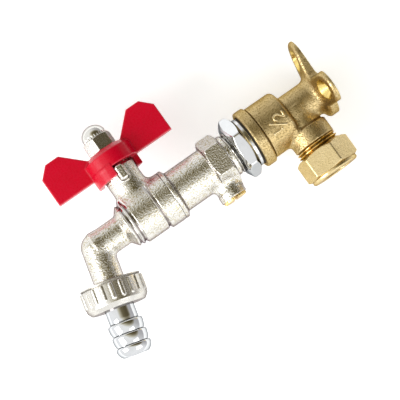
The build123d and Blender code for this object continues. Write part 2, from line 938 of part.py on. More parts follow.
def make_hose_tail():
    top = flange_start()
    under_flange = top + flange_thickness
    profile = [
        (top, hose_bore),
        (top, three_quarter_major - 0.2),
        (under_flange, three_quarter_major - 0.2),
        (under_flange, hose_neck_radius),
        (barb_first - 1.2, hose_neck_radius),
        (barb_first - 1.0, barb_root),
    ]
    for barb in range(barb_count):
        edge = barb_first + barb * barb_spacing
        last = barb == barb_count - 1
        next_edge = hose_end if last else edge + barb_spacing
        next_radius = hose_tip_radius if last else barb_root
        profile += [(edge, barb_root), (edge, barb_radius), (edge + 0.6, barb_radius)]
        profile += [(next_edge - (0 if last else 0.7), next_radius)]
    profile += [(hose_end, hose_bore)]
    tip = len(profile) - 2
    return on_outlet(turned(profile, rounds=((tip, hose_tip_round),)))


def make_union_nut():
    end = union_start + union_length
    shape = turned([
        (union_start, 0),
        (union_start, union_top_radius),
        (union_start + union_top_chamfer, union_radius),
        (end - union_bottom_chamfer, union_radius),
        (end, union_bottom_radius),
        (end, 0),
    ])
    lip_top = flange_start() + flange_thickness + running_gap
    shape -= rod(three_quarter_major + thread_clearance, union_start - 1, lip_top)
    shape -= rod(hose_neck_radius + running_gap, lip_top - 1, end + 1)
    rib_middle = union_start + union_rib_start + union_rib_length / 2
    for rib in range(union_ribs):
        cut = Pos(rib_middle, union_radius, 0) * Box(union_rib_length, 2 * union_rib_depth, union_rib_width)
        shape -= Rot(rib * 360 / union_ribs, 0, 0) * cut
    return on_outlet(shape)


def build():
    """Name and solids of every piece."""
    pieces = {
        "wall_plate_elbow": make_wall_plate_elbow(),
        "compression_nut": make_compression_nut(),
        "compression_olive": make_compression_olive(),
        "sealing_washer": make_sealing_washer(),
        "back_nut": make_back_nut(),
        "inlet_tail": make_inlet_tail(),
        "check_clips": make_clips(),
        "drain_plug": make_drain_plug(),
        "drain_plug_seal": make_drain_seal(),
        "valve_body": make_valve_body(),
        "body_joint_seal": make_body_joint_seal(),
        "ball": make_ball(),
        "ball_seat_front": make_ball_seat(-1),
        "ball_seat_rear": make_ball_seat(1),
        "stem": make_stem(),
        "stem_thrust_washer": make_stem_thrust_washer(),
        "stem_o_rings": make_stem_o_rings(),
        "handle": make_handle(),
        "handle_nut": make_handle_nut(),
        "nut_dome_cap": make_nut_dome_cap(),
        "hose_washer": make_hose_washer(),
        "hose_tail": make_hose_tail(),
        "union_nut": make_union_nut(),
    }
    for name, (front, bore) in zip(("front", "rear"), cages()):
        pieces["check_cage_" + name] = make_check_cage(front, bore)
        pieces["check_cage_ring_" + name] = make_check_ring(front, bore)
        pieces["check_poppet_" + name] = make_check_poppet(front)
        pieces["check_seal_" + name] = make_check_seal(front)
        pieces["check_spring_" + name] = make_check_spring(front)
    return pieces


os.makedirs("parts", exist_ok=True)
for node, shape in build().items():
    solids = shape if isinstance(shape, list) else shape.solids()
    export_step(Compound(children=list(solids)), "parts/" + node + ".step")
    print(node, len(solids), round(sum(solid.volume for solid in solids), 1))
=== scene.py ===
import json
import math

import bmesh
import bpy
import numpy as np
from mathutils import Matrix, Vector


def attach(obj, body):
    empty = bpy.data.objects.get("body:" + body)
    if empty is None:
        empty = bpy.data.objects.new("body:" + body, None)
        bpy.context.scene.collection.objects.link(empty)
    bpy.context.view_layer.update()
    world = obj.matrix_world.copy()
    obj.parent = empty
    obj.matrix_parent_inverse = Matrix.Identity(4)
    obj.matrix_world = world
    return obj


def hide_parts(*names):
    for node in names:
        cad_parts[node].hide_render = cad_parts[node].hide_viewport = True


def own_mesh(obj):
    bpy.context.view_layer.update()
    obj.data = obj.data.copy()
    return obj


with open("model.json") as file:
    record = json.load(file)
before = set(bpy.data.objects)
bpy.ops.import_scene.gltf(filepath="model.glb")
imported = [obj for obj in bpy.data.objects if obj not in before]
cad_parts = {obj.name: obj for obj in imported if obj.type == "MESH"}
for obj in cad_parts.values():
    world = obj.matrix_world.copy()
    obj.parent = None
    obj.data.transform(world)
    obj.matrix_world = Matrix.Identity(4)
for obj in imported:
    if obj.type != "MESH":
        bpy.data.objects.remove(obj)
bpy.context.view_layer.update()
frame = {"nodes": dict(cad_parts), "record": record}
millimetre = 0.001

# Camera: where it stands, how it is turned and its focal length
view = {
    "place": (-0.13776, -0.69399, -0.07418),
    "azimuth": -5.022,
    "elevation": -5.329,
    "roll": 35.464,
    "lens": 137.32,
    "sensor": 36.0,
}


def cameraAxes():
    # right, up and backward directions of a camera turned round the object and then rolled
    a, e, r = (math.radians(view[k]) for k in ("azimuth", "elevation", "roll"))
    right = Vector((math.cos(a), math.sin(a), 0))
    up = Vector((-math.sin(a) * math.sin(e), math.cos(a) * math.sin(e), math.cos(e)))
    back = Vector((math.sin(a) * math.cos(e), -math.cos(a) * math.cos(e), math.sin(e)))
    return (
        right * math.cos(r) - up * math.sin(r),
        right * math.sin(r) + up * math.cos(r),
        back,
    )


camRight, camUp, camBack = cameraAxes()
cameraData = bpy.data.cameras.new("camera")
cameraData.sensor_width = view["sensor"]
cameraData.lens = view["lens"]
cameraData.clip_start = 0.01
cameraData.clip_end = 20
camera = bpy.data.objects.new("camera", cameraData)
turn = Matrix((camRight, camUp, camBack)).transposed().to_4x4()
camera.matrix_world = Matrix.Translation(view["place"]) @ turn
bpy.context.collection.objects.link(camera)
bpy.context.scene.camera = camera
print("camera placed")


def makeTree(name):
    # new material with its node tree emptied
    material = bpy.data.materials.new(name)
    material.use_nodes = True
    tree = material.node_tree
    tree.nodes.clear()
    return material, tree


def addNode(tree, kind, values=None, **settings):
    # one shader node; settings are its own properties and values what its inputs start at
    node = tree.nodes.new(kind if kind.startswith("NodeGroup") else "ShaderNode" + kind)
    for key, value in settings.items():
        setattr(node, key, value)
    for key, value in (values or {}).items():
        node.inputs[key].default_value = value
    return node


def ramp(tree, stops):
    # colour ramp: the colour runs in a straight line from each stop to the next
    node = addNode(tree, "ValToRGB")
    while len(node.color_ramp.elements) < len(stops):
        node.color_ramp.elements.new(0.5)
    for element, (place, colour) in zip(node.color_ramp.elements, stops):
        element.position = place
        element.color = colour if len(colour) == 4 else (*colour, 1)
    return node


def makeGrainShadeGroup():
    # fine pebbles and broad clouds in object space: they mix three colours, spread the roughness
    # between its two ends and lift the surface; sharp edges go lighter towards the edge colour, as wear and a
    # painted highlight, hollows go darker towards the crease colour as painted shade, and points marked machined are
    # smooth and have their own colour
    group = bpy.data.node_groups.new("castGrain", "ShaderNodeTree")
    join = group.links.new
    face = group.interface
    for label, kind, value in (
        ("Colour", "NodeSocketColor", (0.8, 0.8, 0.8, 1)),
        ("Cloud Colour", "NodeSocketColor", (0.7, 0.7, 0.7, 1)),
        ("Fleck Colour", "NodeSocketColor", (0.3, 0.3, 0.3, 1)),
        ("Rubbed Edge Highlight Colour", "NodeSocketColor", (0.9, 0.9, 0.9, 1)),
        ("Painted Crease Shade Colour", "NodeSocketColor", (0.2, 0.2, 0.2, 1)),
        ("Machined Colour", "NodeSocketColor", (0.9, 0.9, 0.9, 1)),
        ("Pebble Scale", "NodeSocketFloat", 1300.0),
        ("Cloud Scale", "NodeSocketFloat", 160.0),
        ("Flecks", "NodeSocketFloat", 0.5),
        ("Edge Wear", "NodeSocketFloat", 0.5),
        ("Creases", "NodeSocketFloat", 0.5),
        ("Rough Low", "NodeSocketFloat", 0.2),
        ("Rough High", "NodeSocketFloat", 0.4),
        ("Relief", "NodeSocketFloat", 0.5),
    ):
        socket = face.new_socket(name=label, in_out="INPUT", socket_type=kind)
        socket.default_value = value
    for label, kind in (("Colour", "Color"), ("Roughness", "Float"), ("Normal", "Vector")):
        face.new_socket(name=label, in_out="OUTPUT", socket_type="NodeSocket" + kind)
    given = addNode(group, "NodeGroupInput")
    made = addNode(group, "NodeGroupOutput")
    place = addNode(group, "TexCoord")
    pebbles = addNode(group, "TexNoise", {"Detail": 2.0, "Roughness": 0.6})
    clouds = addNode(group, "TexNoise", {"Detail": 3.0, "Roughness": 0.6})
    join(place.outputs["Object"], pebbles.inputs["Vector"])
    join(place.outputs["Object"], clouds.inputs["Vector"])
    join(given.outputs["Pebble Scale"], pebbles.inputs["Scale"])
    join(given.outputs["Cloud Scale"], clouds.inputs["Scale"])
    cloudMask = addNode(group, "MapRange", {"From Min": 0.35, "From Max": 0.65})
    join(clouds.outputs["Fac"], cloudMask.inputs["Value"])
    shape = addNode(group, "NewGeometry")

    def amount(source, low, high, label):
        # how far a value is from low to high, times the input of that name
        mask = addNode(group, "MapRange", {"From Min": low, "From Max": high})
        share = addNode(group, "Math", operation="MULTIPLY")
        join(source, mask.inputs["Value"])
        join(mask.outputs["Result"], share.inputs[0])
        join(given.outputs[label], share.inputs[1])
        return share.outputs[0]

    flecked = amount(pebbles.outputs["Fac"], 0.50, 0.64, "Flecks")
    # sharp edges go lighter towards the edge colour: wear, and a painted highlight along them
    edgeHighlight = amount(shape.outputs["Pointiness"], 0.515, 0.58, "Edge Wear")
    # hollows go darker towards the crease colour: painted shade in the creases
    creaseShade = amount(shape.outputs["Pointiness"], 0.492, 0.44, "Creases")
    machined = addNode(group, "Attribute", attribute_name="machined")
    rest = addNode(group, "Math", operation="SUBTRACT")
    rest.inputs[0].default_value = 1.0
    join(machined.outputs["Fac"], rest.inputs[1])
    last = given.outputs["Colour"]
    # the edge and crease mixes paint a highlight with wear on sharp edges and shade in hollows
    for label, amount in (
        ("Cloud Colour", cloudMask.outputs["Result"]),
        ("Fleck Colour", flecked),
        ("Machined Colour", machined.outputs["Fac"]),
        ("Rubbed Edge Highlight Colour", edgeHighlight),
        ("Painted Crease Shade Colour", creaseShade),
    ):
        mix = addNode(group, "Mix", data_type="RGBA")
        join(amount, mix.inputs["Factor"])
        join(last, mix.inputs["A"])
        join(given.outputs[label], mix.inputs["B"])
        last = mix.outputs["Result"]
    join(last, made.inputs["Colour"])
    rough = addNode(group, "MapRange", {"From Min": 0.35, "From Max": 0.65})
    join(pebbles.outputs["Fac"], rough.inputs["Value"])
    join(given.outputs["Rough Low"], rough.inputs["To Min"])
    join(given.outputs["Rough High"], rough.inputs["To Max"])
    smoothed = addNode(group, "Math", operation="MULTIPLY_ADD")
    smoothed.inputs[1].default_value = -0.12
    join(machined.outputs["Fac"], smoothed.inputs[0])
    join(rough.outputs["Result"], smoothed.inputs[2])
    join(smoothed.outputs[0], made.inputs["Roughness"])
    bump = addNode(group, "Bump", {"Distance": 0.00025})
    join(pebbles.outputs["Fac"], bump.inputs["Height"])
    lift = addNode(group, "Math", operation="MULTIPLY")
    join(given.outputs["Relief"], lift.inputs[0])
    join(rest.outputs[0], lift.inputs[1])
    join(lift.outputs[0], bump.inputs["Strength"])
    join(bump.outputs["Normal"], made.inputs["Normal"])
    return group


grainShadeGroup = makeGrainShadeGroup()


# Finishes by slot: colours and amounts in the order of the two rows of labels, then how the surface shines.
# Where the last ones are left out, the group's own values stand.
colourLabels = ("Colour", "Cloud Colour", "Fleck Colour", "Rubbed Edge Highlight Colour", "Painted Crease Shade Colour", "Machined Colour")
amountLabels = ("Pebble Scale", "Flecks", "Edge Wear", "Rough Low", "Rough High", "Relief", "Creases")
# in each finish the fourth colour lightens sharp edges, as wear and a painted highlight, and the fifth is painted
# shade in its hollows
finishValues = {
    "red_handle": (
        ((0.63, 0.0, 0.022), (0.59, 0.0, 0.018), (0.57, 0.0, 0.024), (0.8, 0.09, 0.14),
         (0.26, 0.0, 0.008), (0.8, 0.1, 0.15)),
        (900.0, 0.3, 0.85, 0.24, 0.32, 0.04, 0.8),
        {"metallic": 0.0, "coat": 0.12, "coatRoughness": 0.1},
    ),
    "nickel_cast": (
        ((0.84, 0.83, 0.79), (0.8, 0.78, 0.73), (0.5, 0.42, 0.19), (0.92, 0.92, 0.9),
         (0.22, 0.15, 0.13), (0.86, 0.85, 0.82)),
        (1350.0, 0.75, 0.5, 0.1, 0.2, 1.0, 0.8),
        {"metallic": 1.0, "rim": (0.2, 0.15, 0.17)},
    ),
    "nickel_satin": (
        ((0.8, 0.79, 0.75), (0.76, 0.74, 0.69), (0.6, 0.55, 0.44), (0.93, 0.92, 0.89),
         (0.2, 0.17, 0.13), (0.86, 0.85, 0.82)),
        (1800.0, 0.4, 0.7, 0.2, 0.3, 0.3, 0.8),
        {"metallic": 1.0, "rim": (0.22, 0.19, 0.19)},
    ),
    "nickel_bright": (
        ((0.84, 0.83, 0.8), (0.8, 0.79, 0.75), (0.7, 0.68, 0.6), (0.93, 0.93, 0.9),
         (0.03, 0.025, 0.02), (0.86, 0.85, 0.82)),
        (1800.0, 0.1, 0.5, 0.1, 0.16, 0.04, 1.0),
        {"metallic": 1.0, "rim": (0.18, 0.16, 0.16)},
    ),
    "polished_chrome": (
        ((0.76, 0.775, 0.79), (0.72, 0.735, 0.75), (0.7, 0.71, 0.72), (0.95, 0.96, 0.97),
         (0.06, 0.06, 0.06), (0.86, 0.87, 0.88)),
        (900.0, 0.1, 0.4, 0.04, 0.07, 0.01, 0.8),
        {"metallic": 1.0, "rim": (0.18, 0.19, 0.2)},
    ),
    "cast_brass": (
        ((0.66, 0.51, 0.26), (0.56, 0.42, 0.195), (0.27, 0.185, 0.062), (0.8, 0.66, 0.38),
         (0.12, 0.075, 0.02), (0.88, 0.68, 0.24)),
        (1600.0, 0.85, 0.85, 0.24, 0.4, 0.85, 0.85),
        {"metallic": 1.0, "rim": (0.4, 0.32, 0.22)},
    ),
    "turned_brass": (
        ((0.84, 0.68, 0.38), (0.79, 0.63, 0.33), (0.56, 0.42, 0.19), (0.92, 0.78, 0.48),
         (0.16, 0.1, 0.03), (0.88, 0.68, 0.24)),
        (1800.0, 0.6, 0.8, 0.22, 0.34, 0.4, 0.8),
        {"metallic": 1.0, "rim": (0.4, 0.32, 0.22)},
    ),
    "bright_brass": (
        ((0.82, 0.6, 0.2), (0.76, 0.53, 0.16), (0.5, 0.32, 0.08), (0.97, 0.8, 0.42),
         (0.1, 0.055, 0.01), (0.88, 0.68, 0.24)),
        (1500.0, 0.3, 0.7, 0.14, 0.24, 0.1, 1.0),
        {"metallic": 1.0, "rim": (0.6, 0.5, 0.35)},
    ),
    "dark_fibre": (
        ((0.025, 0.022, 0.022), (0.035, 0.03, 0.03), (0.06, 0.05, 0.045), (0.06, 0.055, 0.05)),
        (2200.0, 0.5, 0.5, 0.55, 0.75, 0.4),
        {"metallic": 0.0},
    ),
    "black_rubber": (
        ((0.012, 0.012, 0.012), (0.016, 0.016, 0.016), (0.03, 0.03, 0.03), (0.03, 0.03, 0.03)),
        (1800.0, 0.3, 0.4, 0.45, 0.6, 0.15),
        {"metallic": 0.0},
    ),
    "white_seat": (
        ((0.82, 0.82, 0.8), (0.8, 0.8, 0.77), (0.76, 0.76, 0.74), (0.86, 0.86, 0.85)),
        (1500.0, 0.3, 0.3, 0.34, 0.44, 0.08),
        {"metallic": 0.0},
    ),
    "valve_plastic": (
        ((0.68, 0.69, 0.68), (0.65, 0.66, 0.65), (0.6, 0.61, 0.6), (0.76, 0.77, 0.76)),
        (1500.0, 0.3, 0.3, 0.36, 0.46, 0.08),
        {"metallic": 0.0},
    ),
    "spring_steel": (
        ((0.62, 0.62, 0.62), (0.56, 0.56, 0.57), (0.4, 0.4, 0.4), (0.75, 0.75, 0.75)),
        (2500.0, 0.3, 0.4, 0.18, 0.28, 0.05),
        {"metallic": 1.0},
    ),
}


def finish(slot, colours, amounts, metallic, coat=0.0, coatRoughness=0.1, rim=(1, 1, 1)):
    # material whose colour, roughness and relief come from the grain group, which also paints a highlight on sharp
    # edges and shade in hollows; rim darkens a metal along its skin
    name = slot.split("_")[0] + "".join(word.title() for word in slot.split("_")[1:])
    material, tree = makeTree(name)
    join = tree.links.new
    out = addNode(tree, "OutputMaterial")
    shader = addNode(tree, "BsdfPrincipled", {
        "Metallic": metallic, "Coat Weight": coat, "Coat Roughness": coatRoughness,
        "Specular IOR Level": 0.5 if metallic else 0.28, "Specular Tint": (*rim, 1),
    })
    grain = addNode(tree, "Group", node_tree=grainShadeGroup)
    for label, colour in zip(colourLabels, colours):
        grain.inputs[label].default_value = (*colour, 1)
    for label, amount in zip(amountLabels, amounts):
        grain.inputs[label].default_value = amount
    join(grain.outputs["Colour"], shader.inputs["Base Color"])
    join(grain.outputs["Roughness"], shader.inputs["Roughness"])
    join(grain.outputs["Normal"], shader.inputs["Normal"])
    join(shader.outputs[0], out.inputs[0])
    return material


finishes = {slot: finish(slot, tones, sums, **shine) for slot, (tones, sums, shine) in finishValues.items()}
slotOf = {row["node"]: row["material_slot"] for row in frame["record"]["subparts"]}
for node, shape in frame["nodes"].items():
    shape.data.materials.clear()
    shape.data.materials.append(finishes[slotOf[node]])
print("finishes made")

# Axes that the pieces are turned or hung on: a start, a direction and a direction across, in millimetres
lean = math.radians(14.3)
axesOf = {
    "barrel": ((0, 0, 0), (1, 0, 0), (0, 1, 0)),
    "branch": ((-17.9, 0, 0), (0, 0, -1), (0, 1, 0)),
    "drain": ((-63.0, 0, 0), (0, 0, -1), (0, 1, 0)),
    "stem": ((-99.7, 0, 0), (0, 0, 1), (1, 0, 0)),
    "outlet": ((-128.0, 0, 0), (-math.sin(lean), 0, -math.cos(lean)), (0, 1, 0)),
}
threadPitch = 1.814
halfInch = 10.4775
threeQuarter = 13.2205


def axisFrame(name):
    # start, direction along and across, and the third direction: along times across
    start, along, across = (np.array(v, float) for v in axesOf[name])
    return start, along, across, np.cross(along, across)


def addMesh(name, points, faces, body, slot, nodes=(), normals=None):
    # mesh object from points in millimetres; faces are rows of four indices
    mesh = bpy.data.meshes.new(name)
    mesh.vertices.add(len(points))
    mesh.vertices.foreach_set("co", (np.asarray(points) * millimetre).astype(np.float32).ravel())
    mesh.loops.add(faces.size)
    mesh.loops.foreach_set("vertex_index", faces.astype(np.int32).ravel())
    mesh.polygons.add(len(faces))
    mesh.polygons.foreach_set("loop_start", np.arange(0, faces.size, faces.shape[1], dtype=np.int32))
    mesh.polygons.foreach_set("use_smooth", np.full(len(faces), True))
    mesh.update(calc_edges=True)
    mesh.validate()
    if normals is not None:
        mesh.normals_split_custom_set_from_vertices([tuple(n) for n in normals])
    piece = bpy.data.objects.new(name, mesh)
    bpy.context.collection.objects.link(piece)
    mesh.materials.append(finishes[slot])
    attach(piece, body)
    if nodes:
        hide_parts(*nodes)
    return piece


def tidyMesh(piece):
    # poles and seams closed, faces turned outwards
    work = bmesh.new()
    work.from_mesh(piece.data)
    bmesh.ops.remove_doubles(work, verts=work.verts, dist=1e-7)
    bmesh.ops.recalc_face_normals(work, faces=work.faces)
    work.to_mesh(piece.data)
    work.free()


def rounded(profile, steps=5):
    # profile of (along, radius, rounding): every corner becomes an arc touching both its sides
    points = [np.array(p[:2], float) for p in profile]
    result = []
    count = len(points)
    for i, corner in enumerate(profile):
        size = corner[2] if len(corner) > 2 else 0
        here, before, after = points[i], points[i - 1], points[(i + 1) % count]
        toBefore, toAfter = before - here, after - here
        lengths = np.linalg.norm(toBefore), np.linalg.norm(toAfter)
        if size == 0 or min(lengths) < 1e-9:
            result.append(here)
            continue
        toBefore, toAfter = toBefore / lengths[0], toAfter / lengths[1]
        half = math.acos(max(-1, min(1, float(toBefore @ toAfter)))) / 2
        if half > 1.55:
            result.append(here)
            continue
        reach = min(size / math.tan(half), 0.45 * lengths[0], 0.45 * lengths[1])
        t = np.linspace(0, 1, steps + 1)[:, None]
        first, last = here + toBefore * reach, here + toAfter * reach
        result.extend(first * (1 - t) ** 2 + 2 * here * t * (1 - t) + last * t ** 2)
    return np.array(result)


def dense(profile, step):
    # the same line with extra points, so that no side is longer than the step
    result = []
    for here, after in zip(profile, np.roll(profile, -1, axis=0)):
        pieces = max(1, int(math.ceil(np.linalg.norm(after - here) / step)))
        result.extend(here + (after - here) * i / pieces for i in range(pieces))
    return np.array(result)


def turnedSkin(name, axis, profile, body, slot, nodes=(), turns=192, step=0.5, shape=None):
    # closed section (along, radius) carried round an axis; shape(along, radius, angle) may change the radius
    start, along, across, up = axisFrame(axis)
    line = dense(np.asarray(profile, float), step)
    angle = np.linspace(0, 2 * math.pi, turns, endpoint=False)
    a = np.repeat(line[:, :1], turns, axis=1)
    r = np.repeat(line[:, 1:2], turns, axis=1)
    phi = np.repeat(angle[None, :], len(line), axis=0)
    if shape:
        r = shape(a, r, phi)
    points = (
        start + a[..., None] * along
        + (r * np.cos(phi))[..., None] * across
        + (r * np.sin(phi))[..., None] * up
    ).reshape(-1, 3)
    row, column = np.meshgrid(np.arange(len(line)), np.arange(turns), indexing="ij")
    nextRow, nextColumn = (row + 1) % len(line), (column + 1) % turns
    here, there = row * turns, nextRow * turns
    faces = np.stack([here + column, here + nextColumn, there + nextColumn, there + column], axis=-1).reshape(-1, 4)
    piece = addMesh(name, points, faces, body, slot, nodes)
    tidyMesh(piece)
    smoothByAngle(piece, 38)
    return piece


def smoothByAngle(piece, degrees):
    # edges sharper than the angle stay crisp
    mesh = piece.data
    work = bmesh.new()
    work.from_mesh(mesh)
    limit = math.radians(degrees)
    for edge in work.edges:
        edge.smooth = len(edge.link_faces) != 2 or edge.calc_face_angle(0) < limit
    for face in work.faces:
        face.smooth = True
    work.to_mesh(mesh)
    work.free()


def spoke(degrees):
    # cosine and sine of an angle
    return math.cos(math.radians(degrees)), math.sin(math.radians(degrees))


def softMin(a, b, k):
    # smaller of two numbers with the corner between them rounded over the width k
    h = np.clip(0.5 + 0.5 * (b - a) / k, 0, 1)
    return b * (1 - h) + a * h - k * h * (1 - h)


def softMax(a, b, k):
    # larger of two numbers, rounded: minus the soft smaller of their negatives
    return -softMin(-a, -b, k)


def hexRadius(angle, flats, turn, k=24):
    # distance of a hexagon's side from its centre in a direction, its corners slightly rounded
    spokes = [np.abs(np.cos(angle - math.radians(turn + 60 * i))) for i in range(3)]
    return flats / 2 / sum(s ** (4 * k) for s in spokes) ** (1 / (4 * k))


# Distance fields: negative inside, positive outside, in millimetres
def axisPlaces(p, axis):
    # points less the axis's start, measured along, across and up
    start, along, across, up = axisFrame(axis)
    q = p - start
    return q @ along, q @ across, q @ up


def sectionField(a, r, profile):
    # signed distance to a closed section; sides on the axis don't count
    best = np.full(a.shape, 1e9)
    inside = np.zeros(a.shape, bool)
    for (a0, r0), (a1, r1) in zip(profile, np.roll(profile, -1, axis=0)):
        da, dr = a1 - a0, r1 - r0
        if r0 > 1e-9 or r1 > 1e-9:
            t = np.clip(((a - a0) * da + (r - r0) * dr) / (da * da + dr * dr + 1e-12), 0, 1)
            best = np.minimum(best, (a - a0 - t * da) ** 2 + (r - r0 - t * dr) ** 2)
        if a0 != a1:
            crosses = (a0 > a) != (a1 > a)
            inside ^= crosses & (r < r0 + (a - a0) * dr / da)
    return np.where(inside, -1, 1) * np.sqrt(best)


def turnedField(p, axis, profile, steps=3):
    # section's field at a point's place along the axis and its distance from it
    a, u, v = axisPlaces(p, axis)
    return sectionField(a, np.hypot(u, v), rounded(profile, steps))


def boreField(p, axis, radius, low, high):
    # straight round hole or bar from low to high
    a, u, v = axisPlaces(p, axis)
    return np.maximum(np.hypot(u, v) - radius, np.maximum(low - a, a - high))


def boresField(p, bores):
    # smallest of the fields of several bores, each given as axis, radius, low and high
    return np.minimum.reduce([boreField(p, *bore) for bore in bores])


def roundBox(p, middle, axes, halves, rounding):
    # box about a middle, with all its edges rounded
    q = np.stack([(p - np.array(middle, float)) @ np.array(axis, float) for axis in axes], axis=-1)
    over = np.abs(q) - (np.array(halves, float) - rounding)
    return np.linalg.norm(np.maximum(over, 0), axis=-1) + np.minimum(over.max(axis=-1), 0) - rounding


def fieldSkin(name, field, low, high, cell, body, slot, nodes=()):
    # surface where a field is zero: a point in every grid cell that it passes through, moved onto
    # it along the gradient, and a quad across every grid edge that it cuts
    block = 6
    low = np.array(low, float)
    count = np.ceil((np.array(high, float) - low) / (cell * block)).astype(int)
    spots = np.stack(np.meshgrid(*[np.arange(n) for n in count], indexing="ij"), axis=-1).reshape(-1, 3)
    middles = low + (spots + 0.5 - 0.5 / block) * cell * block
    rough = field(middles)
    halfDiagonal, margin = 0.87, 1.0
    near = np.abs(rough) < cell * block * halfDiagonal + margin
    inner = np.stack(np.meshgrid(*[np.arange(block)] * 3, indexing="ij"), axis=-1).reshape(-1, 3)
    value = np.repeat(rough[:, None], block ** 3, axis=1)
    chunk = 2000
    chosen = np.nonzero(near)[0]
    for i in range(0, len(chosen), chunk):
        part = chosen[i:i + chunk]
        nodesAt = low + (spots[part][:, None, :] * block + inner[None]) * cell
        value[part] = field(nodesAt.reshape(-1, 3)).reshape(len(part), -1)
    value = value.reshape(*count, block, block, block).transpose(0, 3, 1, 4, 2, 5).reshape(*(count * block))
    inside = value < 0
    corners = [(i, j, k) for i in (0, 1) for j in (0, 1) for k in (0, 1)]
    size = np.array(value.shape) - 1
    total = sum(inside[i:i + size[0], j:j + size[1], k:k + size[2]].astype(np.int8) for i, j, k in corners)
    crossed = (total > 0) & (total < 8)
    index = np.full(crossed.shape, -1, np.int64)
    index[crossed] = np.arange(crossed.sum())
    cells = np.argwhere(crossed)
    held = {c: value[cells[:, 0] + c[0], cells[:, 1] + c[1], cells[:, 2] + c[2]] for c in corners}
    place = np.zeros((len(cells), 3))
    weight = np.zeros(len(cells))
    for first in corners:
        for axis in range(3):
            if first[axis]:
                continue
            second = tuple(1 if n == axis else first[n] for n in range(3))
            v0, v1 = held[first], held[second]
            cut = (v0 < 0) != (v1 < 0)
            t = np.where(cut, v0 / np.where(cut, v0 - v1, 1), 0)
            step = np.array(second) - np.array(first)
            place += np.where(cut[:, None], np.array(first) + t[:, None] * step, 0)
            weight += cut
    points = low + (cells + place / weight[:, None]) * cell

    def slope(p):
        # gradient of the field: its change between two near points over their distance, on each axis
        tiny = 0.01
        return np.stack([field(p + tiny * e) - field(p - tiny * e) for e in np.eye(3)], axis=-1) / (2 * tiny)

    for _ in range(2):
        g = slope(points)
        move = -field(points)[:, None] * g / np.maximum((g ** 2).sum(axis=1, keepdims=True), 0.2)
        far = np.linalg.norm(move, axis=1, keepdims=True)
        points = points + move * np.minimum(1, 0.4 * cell / np.maximum(far, 1e-9))
    quads = []
    for axis in range(3):
        b, c = (axis + 1) % 3, (axis + 2) % 3
        lower = [slice(None)] * 3
        upper = [slice(None)] * 3
        lower[axis], upper[axis] = slice(None, -1), slice(1, None)
        here, there = inside[tuple(lower)], inside[tuple(upper)]
        ends = np.argwhere(here != there)
        ends = ends[(ends[:, b] > 0) & (ends[:, c] > 0) & (ends[:, b] < size[b]) & (ends[:, c] < size[c])]
        outward = here[tuple(ends.T)]
        ring = []
        for db, dc in ((1, 1), (0, 1), (0, 0), (1, 0)):
            at = ends.copy()
            at[:, b] -= db
            at[:, c] -= dc
            ring.append(index[tuple(at.T)])
        ring = np.stack(ring, axis=-1)
        quads.append(np.where(outward[:, None], ring, ring[:, ::-1]))
    faces = np.concatenate(quads)
    faces = faces[(faces >= 0).all(axis=1)]
    normals = slope(points)
    normals = normals / np.maximum(np.linalg.norm(normals, axis=1, keepdims=True), 1e-9)
    piece = addMesh(name, points, faces, body, slot, nodes, normals)
    print(name, len(points), "points", len(faces), "faces")
    return piece


# Valve body: cast barrel, neck and spout, with the lug that stops the handle
valveBody = {
    "neckBlend": 3.4,
    "lugBlend": 1.2,
    "cornerBlend": 1.6,
    "cell": 0.38,
    "barrel": (
        (-86.53, 0), (-86.53, 12.5, 0.3), (-93.8, 12.5, 0.5), (-94.7, 10.9, 0.2), (-95.6, 11.7, 0.4),
        (-106.5, 11.7, 0.25), (-107.6, 10.1, 0.1), (-108.7, 11.3, 0.2), (-109.8, 9.8, 0.1), (-110.6, 10.7, 0.25),
        (-111.2, 10.6, 0.4), (-113.7, 7.25, 1.2), (-128.0, 7.25), (-128.0, 0),
    ),
    "leg": ((0, 0), (0, 7.25), (16.0, 7.25), (17.6, 11.5), (17.6, 12.0), (22.6, 12.0), (22.6, 0)),
    "neck": ((0, 0), (0, 8.4), (23.9, 8.4, 0.5), (25.1, 7.3, 0.3), (26.0, 7.3), (26.0, 0)),
    "lug": (17.0, 24.6, 12.0, 2.15, 1.35),
    "lugTurn": -88,
    "lugDepth": 3,
    "spoutRadius": 7.25,
    "spoutBore": 5.0,
    "bores": (
        ("barrel", 10.56, -92.93, -80), ("barrel", 8.05, -106.43, -92), ("barrel", 5.0, -128.0, -106),
        ("outlet", 5.0, 0, 24), ("stem", 5.56, 0, 11.39), ("stem", 4.06, 0, 28),
    ),
    "machinedRadius": 12.6,
    "machinedSpans": ((-95.8, -94.3), (-110.7, -106.7)),
}


def markMachined(piece, rule):
    # point attribute that is 1 where a tool has cut the casting, worked out from places in millimetres
    mesh = piece.data
    places = np.empty(len(mesh.vertices) * 3)
    mesh.vertices.foreach_get("co", places)
    layer = mesh.attributes.new("machined", "FLOAT", "POINT")
    layer.data.foreach_set("value", rule(places.reshape(-1, 3) / millimetre).astype(np.float32))


